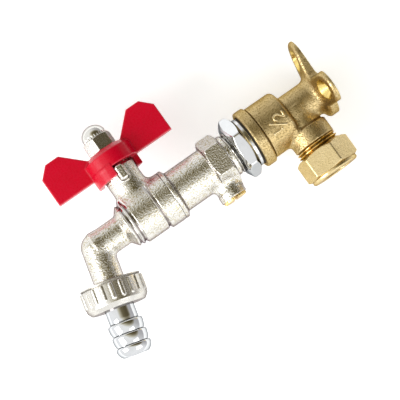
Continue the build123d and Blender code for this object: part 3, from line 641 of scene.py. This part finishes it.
def valveBodyField(p):
    # barrel, neck, leg with its ball-shaped corner, and lug melted together, less the waterways
    values = valveBody
    barrel = turnedField(p, "barrel", values["barrel"])
    neck = turnedField(p, "stem", values["neck"])
    leg = turnedField(p, "outlet", values["leg"])
    fromCorner = np.linalg.norm(p - np.array(axesOf["outlet"][0]), axis=1)
    corner = fromCorner - values["spoutRadius"]
    low, high, reach, half, edge = values["lug"]
    depth, outwards = values["lugDepth"], (*spoke(values["lugTurn"]), 0)
    middle = (
        axesOf["stem"][0][0] + outwards[0] * (reach - depth), outwards[1] * (reach - depth), (low + high) / 2,
    )
    sideways = (-outwards[1], outwards[0], 0)
    lug = roundBox(p, middle, (outwards, sideways, (0, 0, 1)), (depth, half, (high - low) / 2), edge)
    body = softMin(barrel, neck, values["neckBlend"])
    body = softMin(body, np.minimum(corner, leg), values["cornerBlend"])
    body = softMin(body, lug, values["lugBlend"])
    hollow = np.minimum(boresField(p, values["bores"]), fromCorner - values["spoutBore"])
    return np.maximum(body, -hollow)


def bodyMachined(p):
    # grooves cut round the barrel: near its axis and between two places along it
    away = np.hypot(p[:, 1], p[:, 2])
    spans = [(p[:, 0] > low) & (p[:, 0] < high) for low, high in valveBody["machinedSpans"]]
    return (away < valveBody["machinedRadius"]) & (spans[0] | spans[1])


bodyPiece = fieldSkin(
    "tapBody", valveBodyField, (-147, -15.5, -25.5), (-85, 15.5, 28), valveBody["cell"],
    "tap", "nickel_cast", ["valve_body"],
)
markMachined(bodyPiece, bodyMachined)
print("valve body made")

# Wall elbow: forged brass plate with three eyes, socket and branch
wallElbow = {
    "cell": 0.4,
    "plateBlend": 3.6,
    "branchBlend": 2.0,
    "eyeAngles": (97, 187, 7),
    "eyeRadius": 7.8,
    "eyePlace": 19.2,
    "plate": 3.4,
    "taper": 0.19,
    "plateRound": 1.3,
    "barrel": (
        (-1.0, 0), (-1.0, 9.0), (-3.2, 9.6), (-6.0, 8.8, 2.0), (-21.0, 8.8, 0.8), (-21.9, 13.4, 3.2),
        (-36.0, 13.4, 0.3), (-36.5, 12.75, 0.3), (-37.0, 14.65, 0.9), (-42.0, 14.65, 1.0), (-42.0, 0),
    ),
    "branch": (
        (0, 0), (0, 8.6), (9.6, 8.6, 0.4), (10.8, 10.3, 0.7), (17.9, 10.3, 0.5), (18.4, 9.3), (29.2, 9.3),
        (29.9, 8.9), (29.9, 0),
    ),
    "plateCentre": 12.4,
    "taperSpan": (9, 40),
    "frontLean": 0.98,
    "mouthRound": 0.3,
    "bores": (
        ("barrel", 10.54, -45, -26.8), ("barrel", 6.5, -28, -11.4), ("branch", 6.2, 0, 15),
        ("branch", 7.58, 14.0, 32), ("barrel", 12.65, -45, -40.8),
    ),
    "eyeBore": 2.4,
    "sinkRadius": 6.5,
    "sinkStart": 0.9,
    "sinkSlope": 1.05,
    "eyeDepth": 7.5,
    "machinedMargin": 0.15,
    "machinedSocket": (-30, 12.9),
    "machinedBack": -0.05,
}


def eyeHoles(p):
    # screw holes: distance from the eye's centre less a radius that opens to the front, down to a depth
    values = wallElbow
    holes = np.full(len(p), 1e9)
    for angle in values["eyeAngles"]:
        c, s = spoke(angle)
        out = np.hypot(p[:, 1] - values["eyePlace"] * c, p[:, 2] - values["eyePlace"] * s)
        opened = values["eyeBore"] + (-p[:, 0] - values["sinkStart"]) * values["sinkSlope"]
        holes = np.minimum(holes, out - np.clip(opened, values["eyeBore"], values["sinkRadius"]))
    return np.maximum(holes, -p[:, 0] - values["eyeDepth"])


def wallElbowField(p):
    # barrel, plate and branch melted together, cut flat at the wall, less the bores and screw holes;
    # the plate is a disc and three arms, and its front comes nearer the wall away from the centre
    values = wallElbow
    barrel = turnedField(p, "barrel", values["barrel"], 4)
    branch = turnedField(p, "branch", values["branch"])
    across, above = p[:, 1], p[:, 2]
    outline = np.hypot(across, above) - values["plateCentre"]
    for angle in values["eyeAngles"]:
        c, s = spoke(angle)
        along = np.clip(across * c + above * s, 0, values["eyePlace"])
        arm = np.hypot(across - along * c, above - along * s) - values["eyeRadius"]
        outline = np.minimum(outline, arm)
    rounding = values["plateRound"]
    away = np.hypot(across, above)
    thinner = values["taper"] * (np.clip(away, *values["taperSpan"]) - values["eyePlace"])
    front = (-p[:, 0] - values["plate"] + thinner) * values["frontLean"]
    edge = np.stack([outline + rounding, front + rounding], axis=-1)
    plate = np.linalg.norm(np.maximum(edge, 0), axis=-1) + np.minimum(edge.max(axis=-1), 0) - rounding
    plate = np.maximum(plate, p[:, 0])
    body = softMin(barrel, plate, values["plateBlend"])
    body = softMin(body, branch, values["branchBlend"])
    body = np.maximum(body, p[:, 0])
    body = softMax(body, -boresField(p, values["bores"]), values["mouthRound"])
    return np.maximum(body, -eyeHoles(p))


def elbowMachined(p):
    # screw holes with a margin, the socket's mouth and the back face
    values = wallElbow
    mouth, radius = values["machinedSocket"]
    socket = (p[:, 0] < mouth) & (np.hypot(p[:, 1], p[:, 2]) < radius)
    return (eyeHoles(p) < values["machinedMargin"]) | socket | (p[:, 0] > values["machinedBack"])


elbowPiece = fieldSkin(
    "wallElbow", wallElbowField, (-42.5, -28.5, -32), (1.5, 28.5, 28.5), wallElbow["cell"],
    "tap", "cast_brass", ["wall_plate_elbow"],
)
markMachined(elbowPiece, elbowMachined)
print("wall elbow made")

# Raised 1/2 on the socket: strokes as (place along the barrel, angle up from the viewer's side)
sizeMark = {
    "radius": 13.42,
    "halfWidth": 0.58,
    "height": 0.62,
    "strokes": (
        ((-32.0, -27.0), (-33.2, -23.0), (-28.6, -23.0)),
        ((-28.4, -26.6), (-28.4, -19.2)),
        ((-32.6, -1.5), (-25.0, -21.5)),
        (
            (-28.1, -5.0), (-29.0, -2.2), (-29.3, 1.6), (-28.9, 5.4), (-27.8, 7.2), (-26.6, 5.2), (-25.4, -0.5),
            (-24.3, -6.0),
        ),
        ((-24.3, -6.4), (-24.3, 8.6)),
    ),
}


def tubeFaces(rows, turns):
    # quads round a tube of rows x turns points, and quads across its two ends
    row, column = np.meshgrid(np.arange(rows - 1), np.arange(turns), indexing="ij")
    after = (column + 1) % turns
    here, there = row * turns, (row + 1) * turns
    sides = np.stack([here + column, here + after, there + after, there + column], axis=-1).reshape(-1, 4)
    k = np.arange(turns // 2 - 1)
    cap = np.stack([k, k + 1, turns - 2 - k, turns - 1 - k], axis=-1)
    return np.concatenate([sides, cap, cap + (rows - 1) * turns])


def makeSizeMark():
    # oval section carried along each stroke on the socket's skin, closing at both ends
    values = sizeMark
    points, faces, count = [], [], 0
    around = np.linspace(0, 2 * math.pi, 14, endpoint=False)
    for stroke in values["strokes"]:
        bend = np.array(stroke, float)
        bend[:, 1] = np.radians(bend[:, 1]) * values["radius"]
        run = np.concatenate([[0], np.cumsum(np.linalg.norm(np.diff(bend, axis=0), axis=1))])
        steps = np.linspace(0, run[-1], max(12, int(run[-1] / 0.18)))
        x = np.interp(steps, run, bend[:, 0])
        arc = np.interp(steps, run, bend[:, 1])
        kernel = np.array([1, 2, 3, 2, 1]) / 9
        x = np.convolve(np.pad(x, 2, mode="edge"), kernel, mode="valid")
        arc = np.convolve(np.pad(arc, 2, mode="edge"), kernel, mode="valid")
        phi = arc / values["radius"]
        way = np.gradient(np.stack([x, arc], axis=1), axis=0)
        way /= np.linalg.norm(way, axis=1, keepdims=True)
        rise = np.stack([0 * phi, -np.cos(phi), np.sin(phi)], axis=1)
        ring = np.stack([0 * phi, np.sin(phi), np.cos(phi)], axis=1)
        middle = rise * values["radius"]
        middle[:, 0] = x
        sideways = -way[:, 1:2] * np.array([1, 0, 0]) + way[:, :1] * ring
        ends = np.minimum(steps, run[-1] - steps) / 0.55
        full = np.sqrt(np.clip(1 - (1 - np.clip(ends, 0, 1)) ** 2, 1e-4, 1))
        sections = (
            middle[:, None, :]
            + (np.cos(around)[None, :, None] * values["halfWidth"] * full[:, None, None]) * sideways[:, None, :]
            + (np.sin(around)[None, :, None] * values["height"] * full[:, None, None]) * rise[:, None, :]
        )
        rows, turns = len(steps), len(around)
        faces.append(tubeFaces(rows, turns) + count)
        points.append(sections.reshape(-1, 3))
        count += rows * turns
    piece = addMesh("sizeMark", np.concatenate(points), np.concatenate(faces), "tap", "turned_brass")
    tidyMesh(piece)
    smoothByAngle(piece, 60)


makeSizeMark()


def helix(a, r, phi, start, end, major, depth, pitch, lead):
    # thread: the radius falls from the crest to the root and back once for each pitch, later all round
    # by the angle; it fades in at both ends
    phase = np.mod((a - start) / pitch - phi / (2 * math.pi), 1)
    wave = np.clip(np.abs(2 * phase - 1) * 1.5 - 0.25, 0, 1)
    fade = np.clip(np.minimum(a - start, end - a) / lead, 0, 1)
    outer = major - depth * (1 - wave * fade)
    return np.where(r > major - depth - 0.6, outer, r)


# Inlet tail: hexagon, tube with its flange, drain boss and the thread behind
inletTail = {
    "cell": 0.38,
    "hexFlats": 23.6,
    "bossBlend": 2.2,
    "turned": (
        (-92.87, 0), (-92.87, 10.3, 0.3), (-86.53, 10.3), (-86.47, 12.5, 0.35), (-84.7, 12.5, 0.5),
        (-83.5, 10.4, 0.6), (-60.0, 10.4), (-60.0, 10.3), (-53.3, 10.3), (-53.3, 0),
    ),
    "hexEnvelope": ((-64.5, 0), (-64.5, 11.9), (-63.3, 13.8), (-56.7, 13.8), (-55.5, 11.9), (-55.5, 0)),
    "hexBlend": 0.8,
    "hexRound": 0.25,
    "boss": ((0, 0), (0, 6.15), (13.0, 6.15), (14.2, 6.5), (17.3, 6.5, 0.25), (17.3, 0)),
    "bores": (
        ("barrel", 4.8, -95, -82.4), ("barrel", 7.9, -83.4, -55), ("barrel", 8.2, -56.1, -50),
        ("drain", 1.5, 0, 18), ("drain", 4.06, 11.8, 20), ("drain", 5.95, 16.3, 20),
    ),
}


def hexField(p, axis, flats, turn):
    # largest distance across the three pairs of flats, less half the flats
    a, u, v = axisPlaces(p, axis)
    spokes = [math.radians(turn + 60 * i) for i in range(3)]
    return np.max([np.abs(u * math.cos(s) + v * math.sin(s)) for s in spokes], axis=0) - flats / 2


def inletTailField(p):
    # tube, hexagon and drain boss melted together, less the bores
    values = inletTail
    tube = turnedField(p, "barrel", values["turned"])
    flats = hexField(p, "barrel", values["hexFlats"], 0)
    bar = softMax(flats, turnedField(p, "barrel", values["hexEnvelope"]), values["hexRound"])
    boss = turnedField(p, "drain", values["boss"])
    body = softMin(tube, bar, values["hexBlend"])
    body = softMin(body, boss, values["bossBlend"])
    return np.maximum(body, -boresField(p, values["bores"]))


fieldSkin(
    "inletTail", inletTailField, (-94.5, -14.5, -19.5), (-52, 14.5, 14.5), inletTail["cell"],
    "tap", "nickel_cast", ["inlet_tail"],
)

# Threads: axis, slot, start, end, bore, blank radius, largest radius, depth, pitch, lead and step
threads = {
    "tailThread": ("barrel", "nickel_bright", -53.6, -27.8, 8.2, 10.0, halfInch, 1.16, threadPitch, 1.2, 0.16),
    "branchThread": ("branch", "bright_brass", 18.1, 29.95, 7.6, 10.0, halfInch, 1.1, 1.5, 0.5, 0.13),
    "outletThread": ("outlet", "nickel_bright", 17.5, 22.65, 11.0, 12.7, threeQuarter, 1.16, threadPitch, 0.5, 0.16),
}


def makeThread(name, axis, slot, start, end, bore, blank, major, depth, pitch, lead, step):
    # plain tube from start to end whose outside is cut to the helix
    turnedSkin(
        name, axis, [(start, bore), (start, blank), (end, blank), (end, bore)], "tap", slot, step=step, turns=128,
        shape=lambda a, r, phi: helix(a, r, phi, start, end, major, depth, pitch, lead),
    )


for threadName, threadValues in threads.items():
    makeThread(threadName, *threadValues)
print("tail and threads made")

# Nuts: a section turned round the axis, cut down to the hexagon's sides
backNut = {
    "flats": 27.2,
    "turn": 14.0,
    "section": (
        (-51.26, 10.54), (-51.26, 12.3, 0.35), (-49.16, 15.75), (-46.36, 15.75), (-44.4, 12.5, 0.3),
        (-44.2, 12.39, 0.1), (-42.66, 12.39, 0.35), (-42.66, 10.54),
    ),
}
compressionNut = {
    "flats": 24.0,
    "turn": 17.0,
    "section": (
        (22.0, 10.54), (22.0, 11.9, 0.3), (23.1, 13.9), (31.9, 13.9), (32.75, 12.1, 0.1), (32.9, 11.75, 0.1),
        (33.1, 11.99, 0.2), (34.1, 11.99, 0.3), (34.7, 11.3, 0.2), (34.7, 7.58, 0.3), (32.3, 7.58), (32.3, 10.54),
    ),
}
handleNut = {
    "flats": 13.0,
    "turn": 46.0,
    "section": (
        (34.73, 4.06), (34.73, 6.5, 0.15), (35.4, 7.6), (41.0, 7.6), (41.73, 6.4, 0.2), (41.73, 4.06),
    ),
}


def makeHexNut(name, axis, values, body, slot, node):
    # turned section whose radius is the soft smaller of itself and the hexagon's side
    flats, turnBy = values["flats"], values["turn"]

    def cut(a, r, phi):
        # only the outside, half a millimetre within the flats and beyond, is cut
        return np.where(r > flats / 2 - 0.5, softMin(r, hexRadius(phi, flats, turnBy), 0.18), r)

    line = rounded(values["section"], 4)
    return turnedSkin(name, axis, line, body, slot, [node], turns=288, step=0.3, shape=cut)


makeHexNut("backNut", "barrel", backNut, "back_nut", "polished_chrome", "back_nut")
makeHexNut("compressionNut", "branch", compressionNut, "compression_nut", "turned_brass", "compression_nut")
makeHexNut("handleNut", "stem", handleNut, "handle", "nickel_satin", "handle_nut")
print("nuts made")

# Union nut: raised ribs with round ends on a turned ring
unionNut = {
    "ribs": 20,
    "ribHalf": 0.85,
    "ribHeight": 0.55,
    "ribFrom": 18.9,
    "ribTo": 25.6,
    "section": (
        (16.7, 13.3), (16.7, 14.3, 0.2), (17.2, 14.3, 0.1), (17.35, 13.8, 0.1), (17.6, 13.9, 0.1), (18.0, 14.6, 0.2),
        (27.0, 14.6, 0.7), (29.2, 12.9, 0.5), (29.2, 6.98, 0.3), (26.6, 6.98), (26.5, 13.3),
    ),
    "skin": 14.6,
    "ribFade": 0.5,
    "ribSkin": 14.2,
    "ribTop": 15.1,
}


def unionShape(a, r, phi):
    # rib: height falls off with the distance from a short line along the axis, on the outer skin only
    values = unionNut
    pitch = 2 * math.pi / values["ribs"]
    sideways = (np.mod(phi + pitch / 2, pitch) - pitch / 2) * values["skin"]
    beyond = np.maximum(np.maximum(values["ribFrom"] - a, a - (values["ribTo"] - values["ribHalf"])), 0)
    away = np.hypot(sideways, beyond) - values["ribHalf"]
    lift = values["ribHeight"] * np.clip(0.5 - away / values["ribFade"], 0, 1) ** 1.5
    return np.where(r > values["ribSkin"], np.minimum(r + lift, values["ribTop"]), r)


turnedSkin(
    "unionNut", "outlet", rounded(unionNut["section"], 5), "union_nut", "nickel_satin", ["union_nut"],
    turns=400, step=0.28, shape=unionShape,
)

# Hose tail: flange inside the nut, neck and three rounded barbs
hoseTail = {
    "barbs": (35.8, 41.2, 46.6),
    "end": 51.8,
    "root": 6.95,
    "crest": 8.25,
    "bore": 4.8,
    "fall": 0.75,
    "lastFall": 2.0,
    "riseShare": 0.22,
}


def hoseTailSection():
    # each barb rises quickly in a quarter circle, swells and falls to the next step
    values = hoseTail
    line = [(24.5, 4.8), (24.5, 13.0), (26.48, 13.0), (26.48, 6.9), (34.4, 6.9)]
    t = np.linspace(0, 1, 15)
    ends = values["barbs"][1:] + (values["end"] - 0.2,)
    for start, end in zip(values["barbs"], ends):
        fall = values["lastFall"] if start == values["barbs"][-1] else values["fall"]
        rise = np.clip(t / values["riseShare"], 0, 1)
        swell = np.sqrt(1 - (1 - rise) ** 2)
        drop = np.clip((t - values["riseShare"]) / (1 - values["riseShare"]), 0, 1)
        r = values["root"] - 0.15 + (values["crest"] - values["root"] + 0.15) * swell - fall * drop ** 2.2
        line += list(zip(start + (end - start) * t, r))
    line += [(values["end"], 5.7), (values["end"], 5.1), (values["end"] - 0.3, values["bore"])]
    return line


turnedSkin("hoseTail", "outlet", hoseTailSection(), "hose_tail", "polished_chrome", ["hose_tail"], step=0.4)
print("union nut and hose tail made")

# Handle: hub, two flat wings and the two stop tabs under the hub
handle = {
    "cell": 0.36,
    "wingRound": 0.55,
    "wingHalf": 2.3,
    "wingBlend": 0.9,
    "hub": ((25.3, 0), (25.3, 12.0, 0.4), (32.4, 12.0, 0.7), (34.7, 8.9, 0.5), (34.7, 0)),
    "wing": ((25.2, 0), (25.2, 31.2), (39.4, 31.2), (44.6, 26.0), (44.6, 18.9), (34.7, 8.7), (34.7, 0)),
    "tabs": ((-198.4, -98.4), (12.4, 82.4)),
    "tabHeights": (20.6, 27.0),
    "tabRadii": (9.4, 12.25),
    "bores": (("stem", 8.7, 20, 26.06), ("stem", 4.06, 20, 36)),
}


def handleField(p):
    # hub, wings and stop tabs melted together, less the bores; a wing is its outline made thick,
    # a tab is a ring between two radii and two heights, cut to a sector
    values = handle
    a, u, v = axisPlaces(p, "stem")
    r = np.hypot(u, v)
    hub = turnedField(p, "stem", values["hub"])
    rounding = values["wingRound"]
    outline = sectionField(a, np.abs(u), np.array(values["wing"], float))
    edge = np.stack([outline + rounding, np.abs(v) - values["wingHalf"] + rounding], axis=-1)
    wing = np.linalg.norm(np.maximum(edge, 0), axis=-1) + np.minimum(edge.max(axis=-1), 0) - rounding
    body = softMin(hub, wing, values["wingBlend"])
    low, high = values["tabHeights"]
    inner, outer = values["tabRadii"]
    for first, last in values["tabs"]:
        (c0, s0), (c1, s1) = spoke(first), spoke(last)
        sector = np.maximum(s0 * u - c0 * v, c1 * v - s1 * u)
        tab = softMax(np.maximum(r - outer, inner - r), np.maximum(low - a, a - high), 0.5)
        body = softMin(body, softMax(tab, sector, 0.5), 0.4)
    return np.maximum(body, -boresField(p, values["bores"]))


fieldSkin(
    "butterflyHandle", handleField, (-132.5, -14, 19), (-67, 14, 46.2), handle["cell"],
    "handle", "red_handle", ["handle"],
)
print("handle made")

# Dome cap on the nut: thin shell with crimped skirt
domeCap = {"low": 41.76, "skirt": 1.2, "radius": 5.9, "height": 6.4, "wall": 0.9, "crimps": 24}


def domeSection():
    # quarter ellipse above a short skirt, outside and in
    values = domeCap
    t = np.linspace(0, math.pi / 2, 22)
    base = values["low"] + values["skirt"]
    rise = values["height"] - values["skirt"]
    outside = list(zip(base + rise * np.sin(t), values["radius"] * np.cos(t)))
    inner = values["radius"] - values["wall"]
    inside = list(zip(base + (rise - values["wall"]) * np.sin(t[::-1]), inner * np.cos(t[::-1])))
    return [(values["low"], values["radius"])] + outside + inside + [(values["low"], inner)]


def domeShape(a, r, phi):
    # radius less a crimp: the cubed cosine of the angle times the crimps, near the skirt only
    values = domeCap
    nearSkirt = np.clip((values["low"] + 1.3 - a) / 0.5, 0, 1)
    crimp = np.clip(np.cos(values["crimps"] * phi), 0, 1) ** 3 * nearSkirt
    return np.where(r > values["radius"] - 0.5, r - 0.2 * crimp, r)


turnedSkin(
    "domeCap", "stem", domeSection(), "handle", slotOf["nut_dome_cap"], ["nut_dome_cap"],
    turns=240, step=0.35, shape=domeShape,
)
print("dome cap made")

# Check springs: wound wire that shortens as its poppet opens, made here at its full length only
checkSprings = {
    "radius": 2.0,
    "wire": 0.25,
    "turns": 4.5,
    "length": 5.718,
    "travel": 3.0,
    "points": 240,
    "sides": 12,
    "starts": {"front": -81.319, "rear": -54.019},
}


def makeCheckSpring(side):
    # round wire carried along a helix whose rise is slower in the end turns
    values = checkSprings
    t = np.linspace(0, 1, values["points"])
    eased = t - 0.7 * np.sin(2 * math.pi * t) / (2 * math.pi)
    rise = values["wire"] + (values["length"] - 2 * values["wire"]) * eased
    phi = 2 * math.pi * values["turns"] * t
    radial = np.stack([0 * phi, np.cos(phi), np.sin(phi)], axis=1)
    middle = radial * values["radius"]
    middle[:, 0] = values["starts"][side] + rise
    way = np.gradient(middle, axis=0)
    way /= np.linalg.norm(way, axis=1, keepdims=True)
    upright = np.cross(way, radial)
    around = np.linspace(0, 2 * math.pi, values["sides"], endpoint=False)[None, :, None]
    fromEnd = np.clip(np.minimum(t, 1 - t) / 0.004, 0, 1)
    full = np.sqrt(np.clip(1 - (1 - fromEnd) ** 2, 0.01, 1))[:, None, None] * values["wire"]
    points = middle[:, None] + full * (np.cos(around) * radial[:, None] + np.sin(around) * upright[:, None])
    faces = tubeFaces(values["points"], values["sides"])
    name = "checkSpring" + side.title()
    piece = addMesh(name, points.reshape(-1, 3), faces, "tap", "spring_steel", ["check_spring_" + side])
    tidyMesh(piece)
    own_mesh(piece)


for springSide in checkSprings["starts"]:
    makeCheckSpring(springSide)
print("check springs made")

# Backdrop, lamps and surroundings; white is the paper's own colour, lift its glow for the camera
studio = {
    "middle": (-0.075, 0, 0),
    "behind": 0.0285,
    "size": 0.42,
    "white": (0.885, 0.90, 0.915),
    "lift": 0.40,
    "around": 1.06,
    "darkPatch": (0.38, 0.74, 1.0),
    "patchStretch": (0.55, 0.85),
    "greySide": (0.62, 0.78, -0.1),
    "lamps": {
        "keyLight": (-0.42, -0.34, 0.34, 0.34, 2.3),
        "fillLight": (0.40, -0.30, 0.40, 0.40, 0.6),
    },
}


def makeBackdrop():
    # square plane facing the camera, behind the farthest point of the object
    middle = Vector(studio["middle"]) - camBack * studio["behind"]
    half = studio["size"] / 2
    signs = ((-1, -1), (1, -1), (1, 1), (-1, 1))
    corners = [middle + camRight * (half * x) + camUp * (half * y) for x, y in signs]
    mesh = bpy.data.meshes.new("backdrop")
    mesh.from_pydata([tuple(c) for c in corners], [], [(0, 1, 2, 3)])
    backdrop = bpy.data.objects.new("backdrop", mesh)
    bpy.context.collection.objects.link(backdrop)
    material, tree = makeTree("backdropPaper")
    join = tree.links.new
    out = addNode(tree, "OutputMaterial")
    paper = addNode(tree, "BsdfDiffuse", {"Color": (*studio["white"], 1)})
    glow = addNode(tree, "Emission", {"Color": (1, 1, 1, 1), "Strength": studio["lift"]})
    both = addNode(tree, "AddShader")
    path = addNode(tree, "LightPath")
    seen = addNode(tree, "Math", operation="MAXIMUM")
    pick = addNode(tree, "MixShader")
    clear = addNode(tree, "BsdfTransparent")
    side = addNode(tree, "NewGeometry")
    last = addNode(tree, "MixShader")
    join(paper.outputs[0], both.inputs[0])
    join(glow.outputs[0], both.inputs[1])
    join(path.outputs["Is Camera Ray"], seen.inputs[0])
    join(path.outputs["Is Glossy Ray"], seen.inputs[1])
    join(seen.outputs[0], pick.inputs[0])
    join(paper.outputs[0], pick.inputs[1])
    join(both.outputs[0], pick.inputs[2])
    join(side.outputs["Backfacing"], last.inputs[0])
    join(pick.outputs[0], last.inputs[1])
    join(clear.outputs[0], last.inputs[2])
    join(last.outputs[0], out.inputs[0])
    mesh.materials.append(material)


def makeLamp(name, x, y, z, size, power):
    # square lamp at camera-side coordinates round the object's middle, aimed at it
    middle = Vector(studio["middle"])
    data = bpy.data.lights.new(name, "AREA")
    data.shape = "SQUARE"
    data.size = size
    data.energy = power
    lamp = bpy.data.objects.new(name, data)
    place = middle + camRight * x + camUp * y + camBack * z
    lamp.location = place
    lamp.rotation_mode = "QUATERNION"
    lamp.rotation_quaternion = (middle - place).to_track_quat("-Z", "Y")
    bpy.context.collection.objects.link(lamp)


def dotNode(tree, source, axis):
    # share of a direction along an axis: the dot product of the two
    node = addNode(tree, "VectorMath", operation="DOT_PRODUCT")
    node.inputs[1].default_value = axis
    tree.links.new(source, node.inputs[0])
    return node.outputs["Value"]


def makeWorld():
    # pale surroundings, greyer on one side, with one dark olive patch near the camera; white behind
    world = bpy.data.worlds.new("studio")
    bpy.context.scene.world = world
    world.use_nodes = True
    tree = world.node_tree
    join = tree.links.new
    tree.nodes.clear()
    out = addNode(tree, "OutputWorld")
    place = addNode(tree, "TexCoord")
    upright = camUp * 0.98 - camRight * 0.2
    sideways = camRight * 0.98 + camUp * 0.2
    wide, tall = studio["patchStretch"]
    x, y, z = studio["darkPatch"]
    middle = (camRight * x + camUp * y + camBack * z).normalized()
    turned = addNode(tree, "CombineXYZ")
    for socket, axis in enumerate((sideways * wide, upright * tall, camBack)):
        join(dotNode(tree, place.outputs["Generated"], axis), turned.inputs[socket])
    unit = addNode(tree, "VectorMath", operation="NORMALIZE")
    stretched = (sideways * wide, upright * tall, camBack)
    join(turned.outputs[0], unit.inputs[0])
    facing = dotNode(tree, unit.outputs[0], Vector([middle.dot(axis) for axis in stretched]).normalized())
    patch = ramp(tree, [
        (0.0, (1.0, 1.0, 1.0)), (0.80, (0.95, 0.945, 0.93)), (0.875, (0.58, 0.54, 0.41)),
        (0.935, (0.19, 0.16, 0.09)), (1.0, (0.10, 0.08, 0.035)),
    ])
    join(facing, patch.inputs[0])
    shade = addNode(tree, "Background", {"Strength": studio["around"]})
    x, y, z = studio["greySide"]
    greyWay = (camRight * x + camUp * y + camBack * z).normalized()
    leaning = dotNode(tree, place.outputs["Generated"], greyWay)
    side = ramp(tree, [
        (0.0, (1.0, 1.0, 1.0)), (0.35, (0.86, 0.86, 0.87)), (0.75, (0.54, 0.53, 0.54)), (1.0, (0.44, 0.43, 0.44)),
    ])
    join(leaning, side.inputs[0])
    both = addNode(tree, "Mix", {"Factor": 1.0}, data_type="RGBA", blend_type="MULTIPLY")
    join(patch.outputs[0], both.inputs["A"])
    join(side.outputs[0], both.inputs["B"])
    join(both.outputs["Result"], shade.inputs[0])
    clean = addNode(tree, "Background", {"Color": (1, 1, 1, 1), "Strength": 1.0})
    path = addNode(tree, "LightPath")
    pick = addNode(tree, "MixShader")
    join(path.outputs["Is Camera Ray"], pick.inputs[0])
    join(shade.outputs[0], pick.inputs[1])
    join(clean.outputs[0], pick.inputs[2])
    join(pick.outputs[0], out.inputs[0])


makeBackdrop()
for lampName, values in studio["lamps"].items():
    makeLamp(lampName, *values)
makeWorld()
bpy.context.scene.view_settings.view_transform = "Standard"
print("stage and lamps placed")
